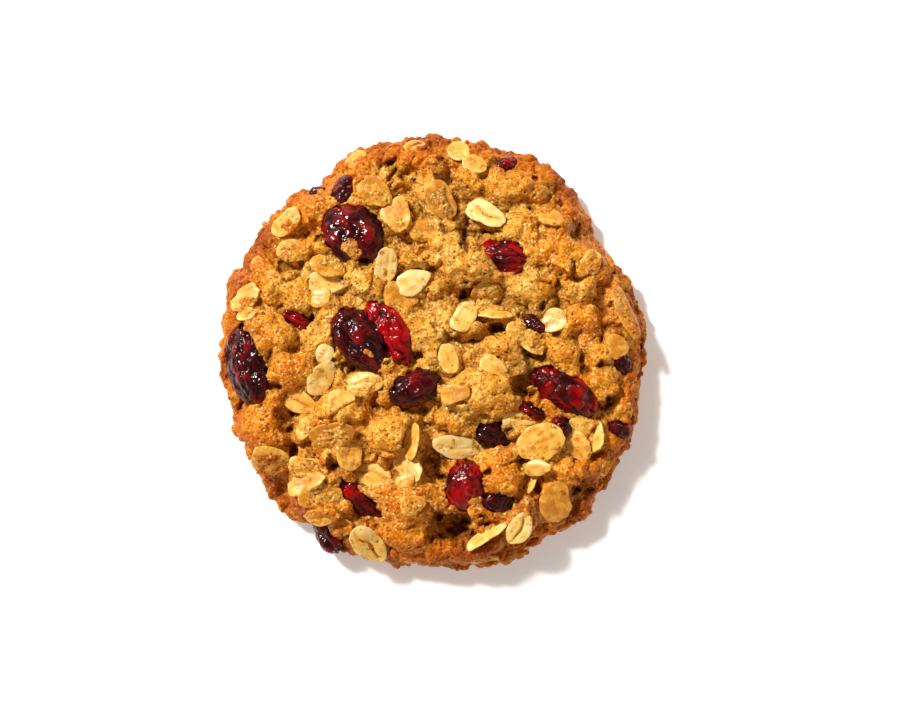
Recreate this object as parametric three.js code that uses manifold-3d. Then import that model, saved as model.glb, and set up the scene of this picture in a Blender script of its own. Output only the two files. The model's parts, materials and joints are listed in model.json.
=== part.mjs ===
// Oatmeal cranberry cookie: one craggy baked dough with its oat flakes fused into the crust, and dried
// cranberries that sit in pockets of the dough, each a piece of its own. Millimetres, +Z up. The origin
// is the middle of the flat underside, and +Y is the top of the plan view.

import * as THREE from "three";
import { ImprovedNoise } from "three/addons/math/ImprovedNoise.js";
import { mergeVertices } from "three/addons/utils/BufferGeometryUtils.js";
import Module from "manifold-3d";

const wasm = await Module();
wasm.setup();

// Dough: overall size and cross-section
const RADIUS = 43.3;
const OUTLINE_CENTRE = [0.6, 0.08];
const CROWN = 12.6;
const RIM_HEIGHT = 4.6;
const BASE_RADIUS = 39.6;
const DOUGH_DETAIL = 18;
const BASE_COLATITUDE = THREE.MathUtils.degToRad(110);
const BELOW_BASE = 3;

// Crust relief
const VALLEY_DEPTH = 2.0;
const CRUMB_HEIGHT = 0.45;
const CRUMB_SIZE = 2.6;
const SWELL_HEIGHT = 0.7;
const SWELL_SIZE = 9;
const SWELL_LAYER = 3.5;
const CRUMB_LAYER = 0.5;
const FILLER_PITCH = 6.4;
const FILLER_RADIUS = [2.4, 3.8];
const FILLER_HEIGHT = [0.8, 2.2];
const HOLLOW_STEEPNESS = 1.5;
const PLATE_HEIGHT = 0.8;
const PLATE_STEEPNESS = 4;
const RELIEF_FADE_START = 0.84;

// Oat flakes and cranberries
const FLAKE_THICKNESS = 1.3;
const FLAKE_LIFT = 0.2;
const FLAKE_SIDES = 8;
const FLAKE_LAYERS = 3;
const FLAKE_FLATNESS = 0.55;
const FLAKE_CURL = 0.3;
const RIM_FLAKES = 8;
const RIM_FLAKE_LIFT = -0.65;
const RIM_FLAKE_LENGTH = [5, 8];
const RIM_FLAKE_WIDTH = [3, 4.4];
const RIM_FLAKE_TILT = [-15, 15];
const RIM_FLAKE_JITTER = 0.6;
const BERRY_DEPTH_SHARE = 0.8;
const BERRY_DEPTH_LIMIT = 6.4;
const BERRY_WRINKLE = 0.07;
const BERRY_LOBES = 0.2;
const BERRY_LOBE_SIZE = 0.8;
const BERRY_LOBE_STEP = 3.7;
const BERRY_RIDGES = 5;
const BERRY_TWIST = 1.5;
const BERRY_LARGE = 13;
const POCKET_GAP = 0.35;

// Swells and dents of the outline: angle in degrees, reach in mm, half-width in degrees
const OUTLINE_SWELLS = [
  [30, -3.3, 11],
  [62, 0.7, 9],
  [78, 0.4, 8],
  [88, 0.6, 3],
  [110, 1.2, 6],
  [125, -1.7, 9],
  [150, -0.7, 6],
  [163, 0.5, 6],
  [188, 0.5, 10],
  [210, -0.6, 5],
  [221, 1.9, 6],
  [243, 1.2, 8],
  [290, 1.5, 11],
  [312, 1.5, 12],
  [330, 0.8, 8],
];

// Crags that stand out of the crust: x, y, length, width, turn in degrees, height over the valleys
const CRAGS = [
  [-25.4, 27.7, 12, 8, 35, 2.4],
  [-23.4, 21.1, 6, 5, 0, 2.4],
  [-32.4, 3.6, 12, 8, -15, 3.0],
  [-34, -16.2, 12, 8, -20, 3.0],
  [-27.8, -4.2, 10, 7.6, 0, 3.1],
  [-18.2, -13.2, 13, 9, -5, 3.9],
  [-8.6, -16.4, 12, 10, 0, 3.9],
  [6, 17.4, 17, 10, -35, 3.6],
  [3, 23.2, 7, 6, 40, 3.5],
  [1.6, 29, 12, 9, -45, 3.0],
  [-6.8, 26.6, 8, 7, 0, 2.8],
  [-12.6, 14.2, 10, 6.6, -15, 2.4],
  [-3.4, 18.4, 8, 6, 0, 2.0],
  [6.4, 5.8, 12, 7, 0, 3.4],
  [13.6, 0.4, 10, 6, -20, 3.2],
  [10.2, -8.2, 17, 11, 8, 4.1],
  [0.6, 1.6, 7, 9, 0, 1.8],
  [-4.4, -30.9, 12, 9, 0, 3.5],
  [-5.4, -36.4, 10, 7, 0, 2.3],
  [14.2, -24.9, 8, 10, 0, 3.2],
  [19.6, 12.3, 10, 6, -5, 2.8],
  [28.6, 11.6, 7, 6, 0, 2.0],
  [25.8, -0.2, 9, 7, -20, 2.7],
  [31, 4.6, 7, 10, 0, 1.9],
  [25.8, 18.6, 14, 11, -10, 2.2],
  [33.6, 17.2, 8, 6, -30, 1.9],
  [17.6, 33.2, 9, 6, 0, 1.8],
  [-1.4, 37.4, 8, 6, 0, 2.3],
  [-22.4, -29.8, 13, 12, 0, 3.5],
  [-9.2, -6.9, 9, 5.6, -10, 2.6],
  [4, -13.6, 9, 6, 0, 2.0],
  [26.6, -23.6, 11, 8, 0, 2.4],
  [33.6, -6.8, 7, 8, 0, 2.0],
  [9.6, -39, 11, 6, 10, 1.9],
  [-28, 12, 13, 7, 0, 1.5],
];

// Hollows between the crags: x, y, length, width, turn in degrees, depth
const HOLLOWS = [
  [0.2, -22.9, 5.4, 8.4, 0, 5],
  [4.6, -35.6, 13, 7.6, 8, 4.6],
  [17.6, -7.5, 7, 6, -20, 4.4],
  [13.2, 4.5, 5, 5, 0, 2.6],
  [6.4, 11.3, 4.2, 5.4, -30, 2.6],
  [-29.4, -14.2, 7, 6, -40, 2.6],
  [-31, -6.9, 4, 4.4, 0, 2.6],
  [-16.6, -3.2, 6, 5, -30, 2.4],
  [-29.6, -27.9, 4.4, 7, -50, 2.4],
  [29, 23.9, 4, 4.4, 0, 2.4],
  [10.4, 22.2, 12, 3, -2, 1.8],
  [3.6, 33.2, 3, 9, 15, 1.6],
  [-7.4, 36.4, 4.4, 5, 0, 1.8],
  [33.2, -11.4, 4, 7, 0, 1.8],
  [20.4, -0.9, 6, 3.4, -10, 1.6],
  [20.6, -26.6, 3.4, 5, 0, 1.8],
  [-38.2, -10.9, 4, 6, 0, 1.6],
  [-4, -1.2, 4, 5, 0, 0.8],
];

// Clean oat flakes: x, y, length, width, turn in degrees, tilt about the length in degrees
const FLAKES = [
  [10.8, 26.9, 7.8, 4.6, -33, 0],
  [-9.2, 17.1, 6.6, 4.2, 80, 10],
  [-6.4, 10.9, 6.8, 5.2, -5, 0],
  [-3.6, 13.7, 6.6, 4.4, 25, -12],
  [-21, 13.5, 7, 3.8, -5, 40],
  [-22, 10.5, 4, 3.8, 0, 0],
  [-21.4, -0.5, 3.8, 3.4, 60, 30],
  [-21.8, -5.3, 7.4, 4.8, 55, 10],
  [-26.4, -10.1, 7.2, 4.2, -25, 0],
  [-17.8, -9.5, 4.8, 3.4, 0, -15],
  [3.4, -1.9, 5.8, 3.8, -69, 0],
  [12.2, -3.1, 5.8, 3.4, -28, 15],
  [12, 7.1, 7.6, 3.8, -6, -60],
  [6.4, 6.5, 5.8, 4.4, 60, 15],
  [24.2, 5.9, 5.6, 4.4, 10, 0],
  [21.6, -3.1, 5.2, 3.4, 10, 0],
  [18.2, -13.3, 8.4, 3.8, 3, 30],
  [5, -19.1, 9.6, 4.4, -10, 20],
  [21.8, -18.1, 9.2, 7.4, 20, 0],
  [29.2, -19.1, 5.8, 4.4, -60, 15],
  [33, -17.3, 5.6, 3.4, 80, -45],
  [29.6, -14.7, 4.8, 3.4, -50, 0],
  [21.2, -23.1, 5.2, 3.2, 8, 15],
  [20, -26.5, 4.2, 2.8, 65, -60],
  [24.6, -30.1, 8.4, 6, 100, 0],
  [17.4, -34.9, 7, 4.4, 60, 0],
  [11, -36.7, 8.8, 3.8, 31, -60],
  [-12.4, -38.1, 9, 4.8, -45, 0],
  [-11.6, -24.7, 6.8, 4.8, -18, 0],
  [-4.4, -23.1, 6.8, 4.4, -45, 10],
  [-5, -25.9, 3.8, 3.2, 30, 0],
  [-3.6, -17.9, 7, 4, 80, -45],
  [-16.6, -20.5, 5.8, 4.8, 70, 0],
  [5.4, 39.7, 4.8, 4.2, -60, 0],
  [8.6, 37.1, 4.6, 3.4, -20, 0],
  [36.8, 0.7, 4.8, 4.6, 0, 0],
];

// Oat flakes that the dough coats, which show as plates in the crust: x, y, length, width, turn
const COATED_FLAKES = [
  [-19.8, -17.1, 9, 7, 30],
  [-25.2, -15.3, 5, 3, 75],
  [-31.8, -21.3, 7.4, 5.6, -15],
  [-24.8, -23.1, 7.6, 4, 0],
  [-24.6, -26.1, 7.4, 4, 5],
  [-21.8, -28.6, 8.8, 4.4, -5],
  [-21.6, -32.7, 7, 3.8, 8],
  [-18.2, -35.1, 5.2, 3.6, 10],
  [-37, 10.5, 7, 4.4, 35],
  [-37, 7.2, 4.6, 3.4, -20],
  [-28.8, 25.5, 6.8, 4.4, 40],
  [-28, 19.9, 6.4, 4.8, 0],
  [-34.6, 17.1, 4, 3.4, 0],
  [-20.8, 16.8, 7.6, 4.4, -10],
  [-15.2, 38.1, 4.6, 3.8, 50],
  [-11.2, 31.3, 7.4, 5, -35],
  [-6.8, 26.7, 6.6, 6, -60],
  [1.6, 29.5, 8, 6, -50],
  [-1.8, 23.7, 5.2, 4, 0],
  [-3.4, 40.9, 4.6, 3.2, 40],
  [21, 31.5, 4.6, 3, 0],
  [23.6, 26.3, 5, 3.8, -20],
  [31.6, 17.7, 5, 4, 60],
  [38.6, 7.1, 11.4, 4.4, -66],
  [40, -7.7, 4.4, 3.2, 50],
  [38.4, -12.1, 4.2, 3.6, 70],
  [18.6, 2.5, 9.2, 4.2, -38],
  [10.8, 11.9, 6.2, 4, -10],
  [34.6, -23.1, 4, 3, 40],
  [26.4, -35.1, 5.2, 3.4, 30],
  [16.6, -41.1, 7, 3.2, 15],
  [10.4, -41.3, 6, 4, 0],
  [-2.8, -41.3, 9, 3.2, 0],
  [-13.2, -6.5, 7.4, 4.6, 10],
  [-3.8, -30.5, 5.2, 3.8, 10],
  [4.6, -8.7, 6.2, 3.6, 15],
];

// Cranberries: x, y, length, width, turn and bend in degrees, share that stands proud, red or dark
const CRANBERRIES = [
  [-15.6, 22.9, 13, 10.6, -40, 0, 0.55, "dark"],
  [-17.6, 31.7, 6.4, 4.8, 40, 0, 0.6, "dark"],
  [-23, 31.8, 3.6, 2.6, -10, 0, 0.5, "dark"],
  [14.4, 18.7, 9.8, 7, -15, 0, 0.5, "red"],
  [15, 37.3, 5, 3, 30, 0, 0.5, "red"],
  [-36.9, -2.9, 16.4, 10, -70, 25, 0.5, "dark"],
  [-27, 5.9, 6.2, 3.4, -20, 0, 0.45, "red"],
  [-14.4, 2.2, 15, 9.2, -48, 0, 0.55, "dark"],
  [-8, 3.7, 16.4, 6.6, -62, -15, 0.55, "red"],
  [-3.4, -7.5, 10.6, 7.2, 22, 0, 0.55, "dark"],
  [26.2, -8, 15, 7.4, -30, -35, 0.5, "red"],
  [19.6, -12, 6, 2.8, -20, 0, 0.45, "red"],
  [25.6, -15.3, 4.4, 4.2, 0, 0, 0.5, "dark"],
  [11.8, -17.1, 7.8, 6, -20, 0, 0.4, "dark"],
  [6.2, -26.9, 10.8, 8.4, 73, 25, 0.5, "red"],
  [13, -30.2, 6.8, 5, -10, 0, 0.4, "dark"],
  [-14.8, -29.5, 12.2, 4.8, -35, 0, 0.45, "red"],
  [-21, -38, 9.6, 5.6, -31, 0, 0.7, "dark"],
  [38, -2.7, 4.8, 3.8, -50, 0, 0.5, "dark"],
  [37.4, -15.7, 4.6, 3.6, -30, 0, 0.5, "dark"],
  [20.2, 5.1, 5.2, 3.2, -30, 0, 0.45, "dark"],
];

// Colours and finish as seen in daylight
const DOUGH_COLOUR = 0xc88f47;
const DOUGH_ROUGHNESS = 0.8;
const BERRY_COLOURS = { red: 0x9c1216, dark: 0x4a1013 };
const BERRY_ROUGHNESS = 0.3;

const UP = new THREE.Vector3(0, 0, 1);
const noise = new ImprovedNoise();

// Repeatable random numbers from 0 to 1
function seededRandom(seed) {
  let state = seed;
  return () => {
    state = (Math.imul(state, 1664525) + 1013904223) >>> 0;
    return state / 4294967296;
  };
}

function between(range, share) {
  return range[0] + (range[1] - range[0]) * share;
}

// Distance from an oval's centre, as a share of the way to its edge
function ovalDistance(x, y, [centreX, centreY, length, width, turn]) {
  const angle = THREE.MathUtils.degToRad(turn);
  const alongX = (x - centreX) * Math.cos(angle) + (y - centreY) * Math.sin(angle);
  const acrossY = (y - centreY) * Math.cos(angle) - (x - centreX) * Math.sin(angle);
  return Math.hypot(alongX / (length / 2), acrossY / (width / 2));
}

// Small crags that fill the crust between the named ones, on a jittered grid
function fillerCrags() {
  const random = seededRandom(7);
  const crags = [];
  for (let x = -RADIUS; x <= RADIUS; x += FILLER_PITCH) {
    for (let y = -RADIUS; y <= RADIUS; y += FILLER_PITCH) {
      const length = 2 * between(FILLER_RADIUS, random());
      const width = 2 * between(FILLER_RADIUS, random());
      const placeX = x + (random() - 0.5) * FILLER_PITCH;
      const placeY = y + (random() - 0.5) * FILLER_PITCH;
      crags.push([placeX, placeY, length, width, 180 * random(), between(FILLER_HEIGHT, random())]);
    }
  }
  return crags;
}

const crags = [...CRAGS, ...fillerCrags()];

// Height of the crust over its smooth dome: rounded crags that meet in creases, then the hollows
function crustRelief(x, y) {
  let height = 0;
  for (const crag of crags) {
    const distance = ovalDistance(x, y, crag);
    if (distance < 1) height = Math.max(height, crag[5] * Math.sqrt(1 - distance * distance));
  }
  for (const plate of COATED_FLAKES) {
    const distance = ovalDistance(x, y, plate);
    if (distance < 1) height += PLATE_HEIGHT * (1 - distance ** PLATE_STEEPNESS);
  }
  for (const hollow of HOLLOWS) {
    const distance = ovalDistance(x, y, hollow);
    if (distance < 1) height -= hollow[5] * (1 - distance * distance) ** HOLLOW_STEEPNESS;
  }
  const crumb = CRUMB_HEIGHT * noise.noise(x / CRUMB_SIZE, y / CRUMB_SIZE, CRUMB_LAYER);
  const swell = SWELL_HEIGHT * noise.noise(x / SWELL_SIZE, y / SWELL_SIZE, SWELL_LAYER);
  return height - VALLEY_DEPTH + crumb + swell;
}

function outlineRadius(angle) {
  let radius = RADIUS;
  for (const [at, reach, halfWidth] of OUTLINE_SWELLS) {
    const turn = angle - THREE.MathUtils.degToRad(at);
    const offset = Math.atan2(Math.sin(turn), Math.cos(turn)) / THREE.MathUtils.degToRad(halfWidth);
    radius += reach * Math.exp(-offset * offset);
  }
  return radius;
}

// Cross-section from the middle of the top, round the rim, to the edge of the underside
function doughProfile() {
  return new THREE.SplineCurve([
    new THREE.Vector2(0, CROWN),
    new THREE.Vector2(0.5 * RADIUS, 0.98 * CROWN),
    new THREE.Vector2(0.8 * RADIUS, 0.88 * CROWN),
    new THREE.Vector2(0.935 * RADIUS, 0.68 * CROWN),
    new THREE.Vector2(RADIUS, RIM_HEIGHT),
    new THREE.Vector2(0.985 * RADIUS, 0.4 * RIM_HEIGHT),
    new THREE.Vector2(BASE_RADIUS, 0),
  ]);
}

// Only positions, with shared corners merged
function weld(geometry) {
  geometry.deleteAttribute("normal");
  geometry.deleteAttribute("uv");
  return mergeVertices(geometry, 1e-5);
}

function toSolid(geometry) {
  const vertProperties = new Float32Array(geometry.attributes.position.array);
  const triVerts = new Uint32Array(geometry.index.array);
  return new wasm.Manifold(new wasm.Mesh({ numProp: 3, vertProperties, triVerts }));
}

function toGeometry(solid) {
  const mesh = solid.getMesh();
  const geometry = new THREE.BufferGeometry();
  geometry.setAttribute("position", new THREE.BufferAttribute(new Float32Array(mesh.vertProperties), 3));
  geometry.setIndex(new THREE.BufferAttribute(new Uint32Array(mesh.triVerts), 1));
  geometry.computeVertexNormals();
  return geometry;
}

// The craggy loaf of dough: a sphere laid over the profile, its lower cap hanging below the base plane
function doughGeometry() {
  const profile = doughProfile();
  const geometry = weld(new THREE.IcosahedronGeometry(1, DOUGH_DETAIL));
  const position = geometry.attributes.position;
  for (let i = 0; i < position.count; i += 1) {
    const angle = Math.atan2(position.getY(i), position.getX(i));
    const colatitude = Math.acos(THREE.MathUtils.clamp(position.getZ(i), -1, 1));
    const along = colatitude / BASE_COLATITUDE;
    const spread = outlineRadius(angle) / RADIUS;
    if (along < 1) {
      const point = profile.getPointAt(along);
      const tangent = profile.getTangentAt(along);
      const x = OUTLINE_CENTRE[0] + point.x * spread * Math.cos(angle);
      const y = OUTLINE_CENTRE[1] + point.x * spread * Math.sin(angle);
      const fade = 1 - THREE.MathUtils.smoothstep(along, RELIEF_FADE_START, 1);
      const relief = crustRelief(x, y) * fade;
      const outward = -tangent.y * relief;
      position.setXYZ(
        i,
        x + outward * Math.cos(angle),
        y + outward * Math.sin(angle),
        point.y + tangent.x * relief,
      );
    } else {
      const below = (colatitude - BASE_COLATITUDE) / (Math.PI - BASE_COLATITUDE);
      const radius = BASE_RADIUS * spread * (1 - below);
      position.setXYZ(
        i,
        OUTLINE_CENTRE[0] + radius * Math.cos(angle),
        OUTLINE_CENTRE[1] + radius * Math.sin(angle),
        -BELOW_BASE * below,
      );
    }
  }
  return geometry;
}

// Everything under the base plane, taken off so that the cookie rests flat
function groundSolid() {
  const size = 3 * RADIUS;
  const ground = new THREE.BoxGeometry(size, size, 2 * BELOW_BASE);
  ground.translate(0, 0, -BELOW_BASE);
  return toSolid(weld(ground));
}

// A rolled oat: an oval plate with a bevelled edge and slightly lifted ends
function flakeGeometry(length, width) {
  const geometry = weld(new THREE.SphereGeometry(1, FLAKE_SIDES, FLAKE_LAYERS));
  geometry.rotateX(Math.PI / 2);
  const position = geometry.attributes.position;
  for (let i = 0; i < position.count; i += 1) {
    const reach = Math.hypot(position.getX(i), position.getY(i));
    const flatten = reach > 0 ? reach ** (FLAKE_FLATNESS - 1) : 0;
    const along = position.getX(i) * flatten;
    const across = position.getY(i) * flatten;
    const lift = FLAKE_CURL * along * along;
    position.setXYZ(
      i,
      (along * length) / 2,
      (across * width) / 2,
      (position.getZ(i) * FLAKE_THICKNESS) / 2 + lift,
    );
  }
  return geometry;
}

// Uneven swelling of a berry in the direction of one of its corners
function lobe(position, i, phase) {
  const x = position.getX(i) / BERRY_LOBE_SIZE;
  const y = position.getY(i) / BERRY_LOBE_SIZE;
  const z = position.getZ(i) / BERRY_LOBE_SIZE;
  return noise.noise(x + BERRY_LOBE_STEP * phase, y, z);
}

// A dried cranberry: an oval with lengthwise wrinkles, bent along its length. spare grows it all round.
function berryGeometry(length, width, bend, phase, spare) {
  const depth = Math.min(width * BERRY_DEPTH_SHARE, BERRY_DEPTH_LIMIT);
  const detail = length > BERRY_LARGE ? 2 : 1;
  const curve = THREE.MathUtils.degToRad(bend) / length;
  const geometry = weld(new THREE.IcosahedronGeometry(1, detail));
  const position = geometry.attributes.position;
  for (let i = 0; i < position.count; i += 1) {
    const round = Math.atan2(position.getZ(i), position.getY(i));
    const fold = BERRY_RIDGES * round + BERRY_TWIST * position.getX(i) + phase;
    const wrinkle = 1 + BERRY_WRINKLE * Math.cos(fold) + BERRY_LOBES * lobe(position, i, phase);
    const along = position.getX(i) * (length / 2 + spare);
    const across = position.getY(i) * wrinkle * (width / 2 + spare);
    const height = position.getZ(i) * wrinkle * (depth / 2 + spare);
    const turn = along * curve;
    const middle = curve === 0 ? along : Math.sin(turn) / curve;
    const sag = curve === 0 ? 0 : (1 - Math.cos(turn)) / curve;
    position.setXYZ(i, middle - across * Math.sin(turn), sag + across * Math.cos(turn), height);
  }
  return geometry;
}

// Where a piece lies on the crust: the point under it, and the mean slope under its middle
function crustUnder(crust, x, y, span) {
  const caster = new THREE.Raycaster();
  const point = new THREE.Vector3();
  const normal = new THREE.Vector3();
  const steps = [[0, 0], [1, 0], [-1, 0], [0, 1], [0, -1]];
  for (const [stepX, stepY] of steps) {
    const start = new THREE.Vector3(x + stepX * span, y + stepY * span, 2 * CROWN);
    caster.set(start, UP.clone().negate());
    let hit = caster.intersectObject(crust)[0];
    if (!hit) {
      const outside = new THREE.Vector3(x, y, 0).setLength(2 * RADIUS).setZ(RIM_HEIGHT);
      caster.set(outside, new THREE.Vector3(-x, -y, 0).normalize());
      hit = caster.intersectObject(crust)[0];
    }
    if (stepX === 0 && stepY === 0) point.copy(hit.point);
    normal.add(hit.face.normal);
  }
  return { point, normal: normal.normalize() };
}

// Turns a flat-lying piece to its heading on a slope, tilts it about its length, and sets it in place
function lay(geometry, { point, normal }, turn, tilt, lift) {
  const heading = THREE.MathUtils.degToRad(turn);
  const ahead = new THREE.Vector3(Math.cos(heading), Math.sin(heading), 0);
  const side = new THREE.Vector3().crossVectors(normal, ahead).normalize();
  ahead.crossVectors(side, normal);
  geometry.rotateX(THREE.MathUtils.degToRad(tilt));
  geometry.applyMatrix4(new THREE.Matrix4().makeBasis(ahead, side, normal));
  geometry.translate(...point.clone().addScaledVector(normal, lift));
  return geometry;
}

// Flakes that show in the side of the rim, spread evenly round it
function rimFlakes(crust) {
  const random = seededRandom(23);
  const solids = [];
  for (let i = 0; i < RIM_FLAKES; i += 1) {
    const angle = (2 * Math.PI * (i + RIM_FLAKE_JITTER * random())) / RIM_FLAKES;
    const length = between(RIM_FLAKE_LENGTH, random());
    const width = between(RIM_FLAKE_WIDTH, random());
    const place = crustUnder(crust, 2 * RADIUS * Math.cos(angle), 2 * RADIUS * Math.sin(angle), 1);
    const turn = THREE.MathUtils.radToDeg(angle) + 90;
    const tilt = between(RIM_FLAKE_TILT, random());
    solids.push(toSolid(lay(flakeGeometry(length, width), place, turn, tilt, RIM_FLAKE_LIFT)));
  }
  return solids;
}

// The one body that is left when loose scraps and sealed bubbles are dropped
function largestBody(solid) {
  return solid.decompose().reduce((best, body) => (body.volume() > best.volume() ? body : best));
}

function material(colour, roughness) {
  return new THREE.MeshStandardMaterial({ color: colour, roughness, metalness: 0 });
}

function named(name, geometry, finish) {
  const mesh = new THREE.Mesh(geometry, finish);
  mesh.name = name;
  return mesh;
}

// The dough, and the berries in it: one that presses against an earlier one is hollowed to clear it
function buildCookie() {
  const cookie = new THREE.Group();
  const loaf = doughGeometry();
  const crust = new THREE.Mesh(loaf, material(DOUGH_COLOUR, DOUGH_ROUGHNESS));
  let dough = toSolid(loaf).subtract(groundSolid());

  for (const [x, y, length, width, turn, tilt] of FLAKES) {
    const place = crustUnder(crust, x, y, width / 4);
    dough = dough.add(toSolid(lay(flakeGeometry(length, width), place, turn, tilt, FLAKE_LIFT)));
  }
  for (const flake of rimFlakes(crust)) dough = dough.add(flake);
  dough = dough.subtract(groundSolid());

  const pockets = [];
  CRANBERRIES.forEach(([x, y, length, width, turn, bend, proud, tone], index) => {
    const depth = Math.min(width * BERRY_DEPTH_SHARE, BERRY_DEPTH_LIMIT);
    const place = crustUnder(crust, x, y, width / 4);
    const lift = (proud - 0.5) * depth;
    const whole = toSolid(lay(berryGeometry(length, width, bend, index, 0), place, turn, 0, lift));
    const berry = pockets.reduce((rest, pocket) => rest.subtract(pocket), whole);
    const pocket = toSolid(lay(berryGeometry(length, width, bend, index, POCKET_GAP), place, turn, 0, lift));
    dough = dough.subtract(pocket);
    pockets.push(pocket);
    const name = `cranberry_${String(index + 1).padStart(2, "0")}`;
    cookie.add(named(name, toGeometry(largestBody(berry)), material(BERRY_COLOURS[tone], BERRY_ROUGHNESS)));
  });

  cookie.add(named("dough", toGeometry(largestBody(dough)), material(DOUGH_COLOUR, DOUGH_ROUGHNESS)));
  const box = new THREE.Box3().setFromObject(cookie);
  const middle = box.getCenter(new THREE.Vector3());
  cookie.position.set(-middle.x, -middle.y, 0);
  return cookie;
}

export default buildCookie();
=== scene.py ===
"""Looks of the oatmeal cranberry cookie: crumb, oat flakes and wrinkled cranberries over the CAD part."""

import itertools
import json
import math

import bpy
import numpy as np
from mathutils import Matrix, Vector
from mathutils.bvhtree import BVHTree


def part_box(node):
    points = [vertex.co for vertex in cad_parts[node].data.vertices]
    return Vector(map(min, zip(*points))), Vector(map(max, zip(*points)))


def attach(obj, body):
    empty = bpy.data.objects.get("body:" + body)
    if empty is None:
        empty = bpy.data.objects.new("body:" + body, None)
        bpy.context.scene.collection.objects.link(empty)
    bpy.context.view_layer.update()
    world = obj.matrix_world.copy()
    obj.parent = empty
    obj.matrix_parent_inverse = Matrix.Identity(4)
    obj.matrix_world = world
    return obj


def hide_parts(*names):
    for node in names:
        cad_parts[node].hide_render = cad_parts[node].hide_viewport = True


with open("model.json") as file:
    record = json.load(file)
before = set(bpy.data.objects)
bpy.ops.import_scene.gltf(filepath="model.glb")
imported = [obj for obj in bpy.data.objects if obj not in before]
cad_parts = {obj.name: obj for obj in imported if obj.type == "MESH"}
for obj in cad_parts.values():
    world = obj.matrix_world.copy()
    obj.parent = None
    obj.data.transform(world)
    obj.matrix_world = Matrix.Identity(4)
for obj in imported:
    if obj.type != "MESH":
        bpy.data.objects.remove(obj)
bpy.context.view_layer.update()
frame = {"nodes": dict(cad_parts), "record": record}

# Lengths below are millimetres, and the scene is in metres
MM = 0.001
SEED = 5
FLAKE_SEED = 11
SALTS = 9999
DOWN = Vector((0, 0, -1))
SHORTEST_NORMAL = 1e-12

# Whole numbers that the repeatable noise is mixed with
HASH_AXES = (73856093, 19349663, 83492791)
HASH_SALT_STEP = 40503
HASH_SALT_START = 977
HASH_ROUNDS = ((15, 2246822519), (13, 3266489917))
HASH_LAST_SHIFT = 16
HASH_RANGE = 4294967296.0

# Camera straight above, lamps from the upper left with their strengths and angles, and the floor
FRAME_WIDTH = 180.0
FRAME_CENTRE = (3.6, -1.9, 8.0)
LENS = 90.0
SENSOR = 36.0
CLIP_START = 10.0
KEY_TOWARDS = (1.0, -1.0, -1.38)
KEY_COLOUR = (1.0, 0.97, 0.93)
LAMPS = [("key", 3.1, 0.11), ("softbox", 0.9, 0.3)]
FILL_STRENGTH = 1.0
FILL_STOPS = [(0.2, (0.70, 0.57, 0.44)), (0.9, (0.15, 0.125, 0.095))]
FLOOR_SIZE = 4000.0
FLOOR_COLOUR = (0.93, 0.93, 0.93)
FLOOR_GLOW = (0.93, 0.93, 0.96)
FLOOR_GLOW_STRENGTH = 0.28

# Dough mesh
RAY_HEIGHT = 60.0
RAY_REACH = 80.0
BASE_VOXEL = 0.6
BASE_SMOOTHING = 3
BROAD_SMOOTHING = 120
CLIFF_HEIGHT = 1.05
CLIFF_STEEPNESS = 3.0
CLIFF_RAGGED = 0.35
CLIFF_TOP = 0.4
CLIFF_FLATTENING = 0.3
RING_START = 1.3
RING_END = 1.9
MAP_CELL = 0.7
MAP_HALF = 70
MAP_LOWEST = 3.0
SLAB_SMOOTHING = 4
PLATE_SMOOTHING = 2
SLUMP = 0.9
SLUMP_BEARING = 245.0
SLUMP_BERRY_GAP = 3.0
SLUMP_LEAST_REACH = 1.0
CRUMB_VOXEL = 0.3
CRUMB_SMOOTHING = 2
DOUGH_TRIANGLES = 190000

# Grains of the crumb: size, salt, stir, height in the valleys, less on slabs, roundness, level
CRUMB_GRAINS = [
    (2.5, 11, 1, 0.8, 0.5, 0.9, 0.7),
    (1.05, 14, 1, 0.5, 0.3, 0.85, 0.65),
    (0.65, 17, 0, 0.14, 0.06, 0.85, 0.65),
]
CRUMB_STIR = 0.5
CRUMB_STIR_WAVE = 1.9
CRUMB_STIR_SALT = 45
CRUMB_RIM_SHARE = 0.6
CRUMB_AT_BASE = 0.25
PORE_SPACING = 1.9
PORE_SALT = 23
PORE_SHARE = 0.5
PORE_DEPTH = 0.6

# What the dough's material reads
BROWNING_CENTRE = (2.0, 8.0, 0.0)
HOLLOW_SMOOTHING = 6
HOLLOW_DEPTH = 0.18
COAT_SHARE = 0.45

# Waves of noise on the dough: length, salt and height
WAVES = {
    "cliff": (3.2, 60, 1.0),
    "cliff_fine": (1.6, 61, 0.7),
    "swell": (3.1, 43, 0.2),
    "cover": (3.5, 72, 1.5),
    "cover_fine": (1.2, 71, 0.06),
    "pit": (1.7, 31, 0.5),
    "pit_fine": (0.8, 32, 0.3),
    "hug": (1.5, 95, 0.25),
    "groove": (1.3, 91, 0.12),
    "groove_gaps": (4.0, 92, 1.0),
    "stain": (2.2, 83, 1.0),
    "bare_edge": (2.6, 81, 1.0),
    "thin_coat": (1.8, 82, 1.0),
    "rim": (5, 51, 1.5),
}

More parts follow.
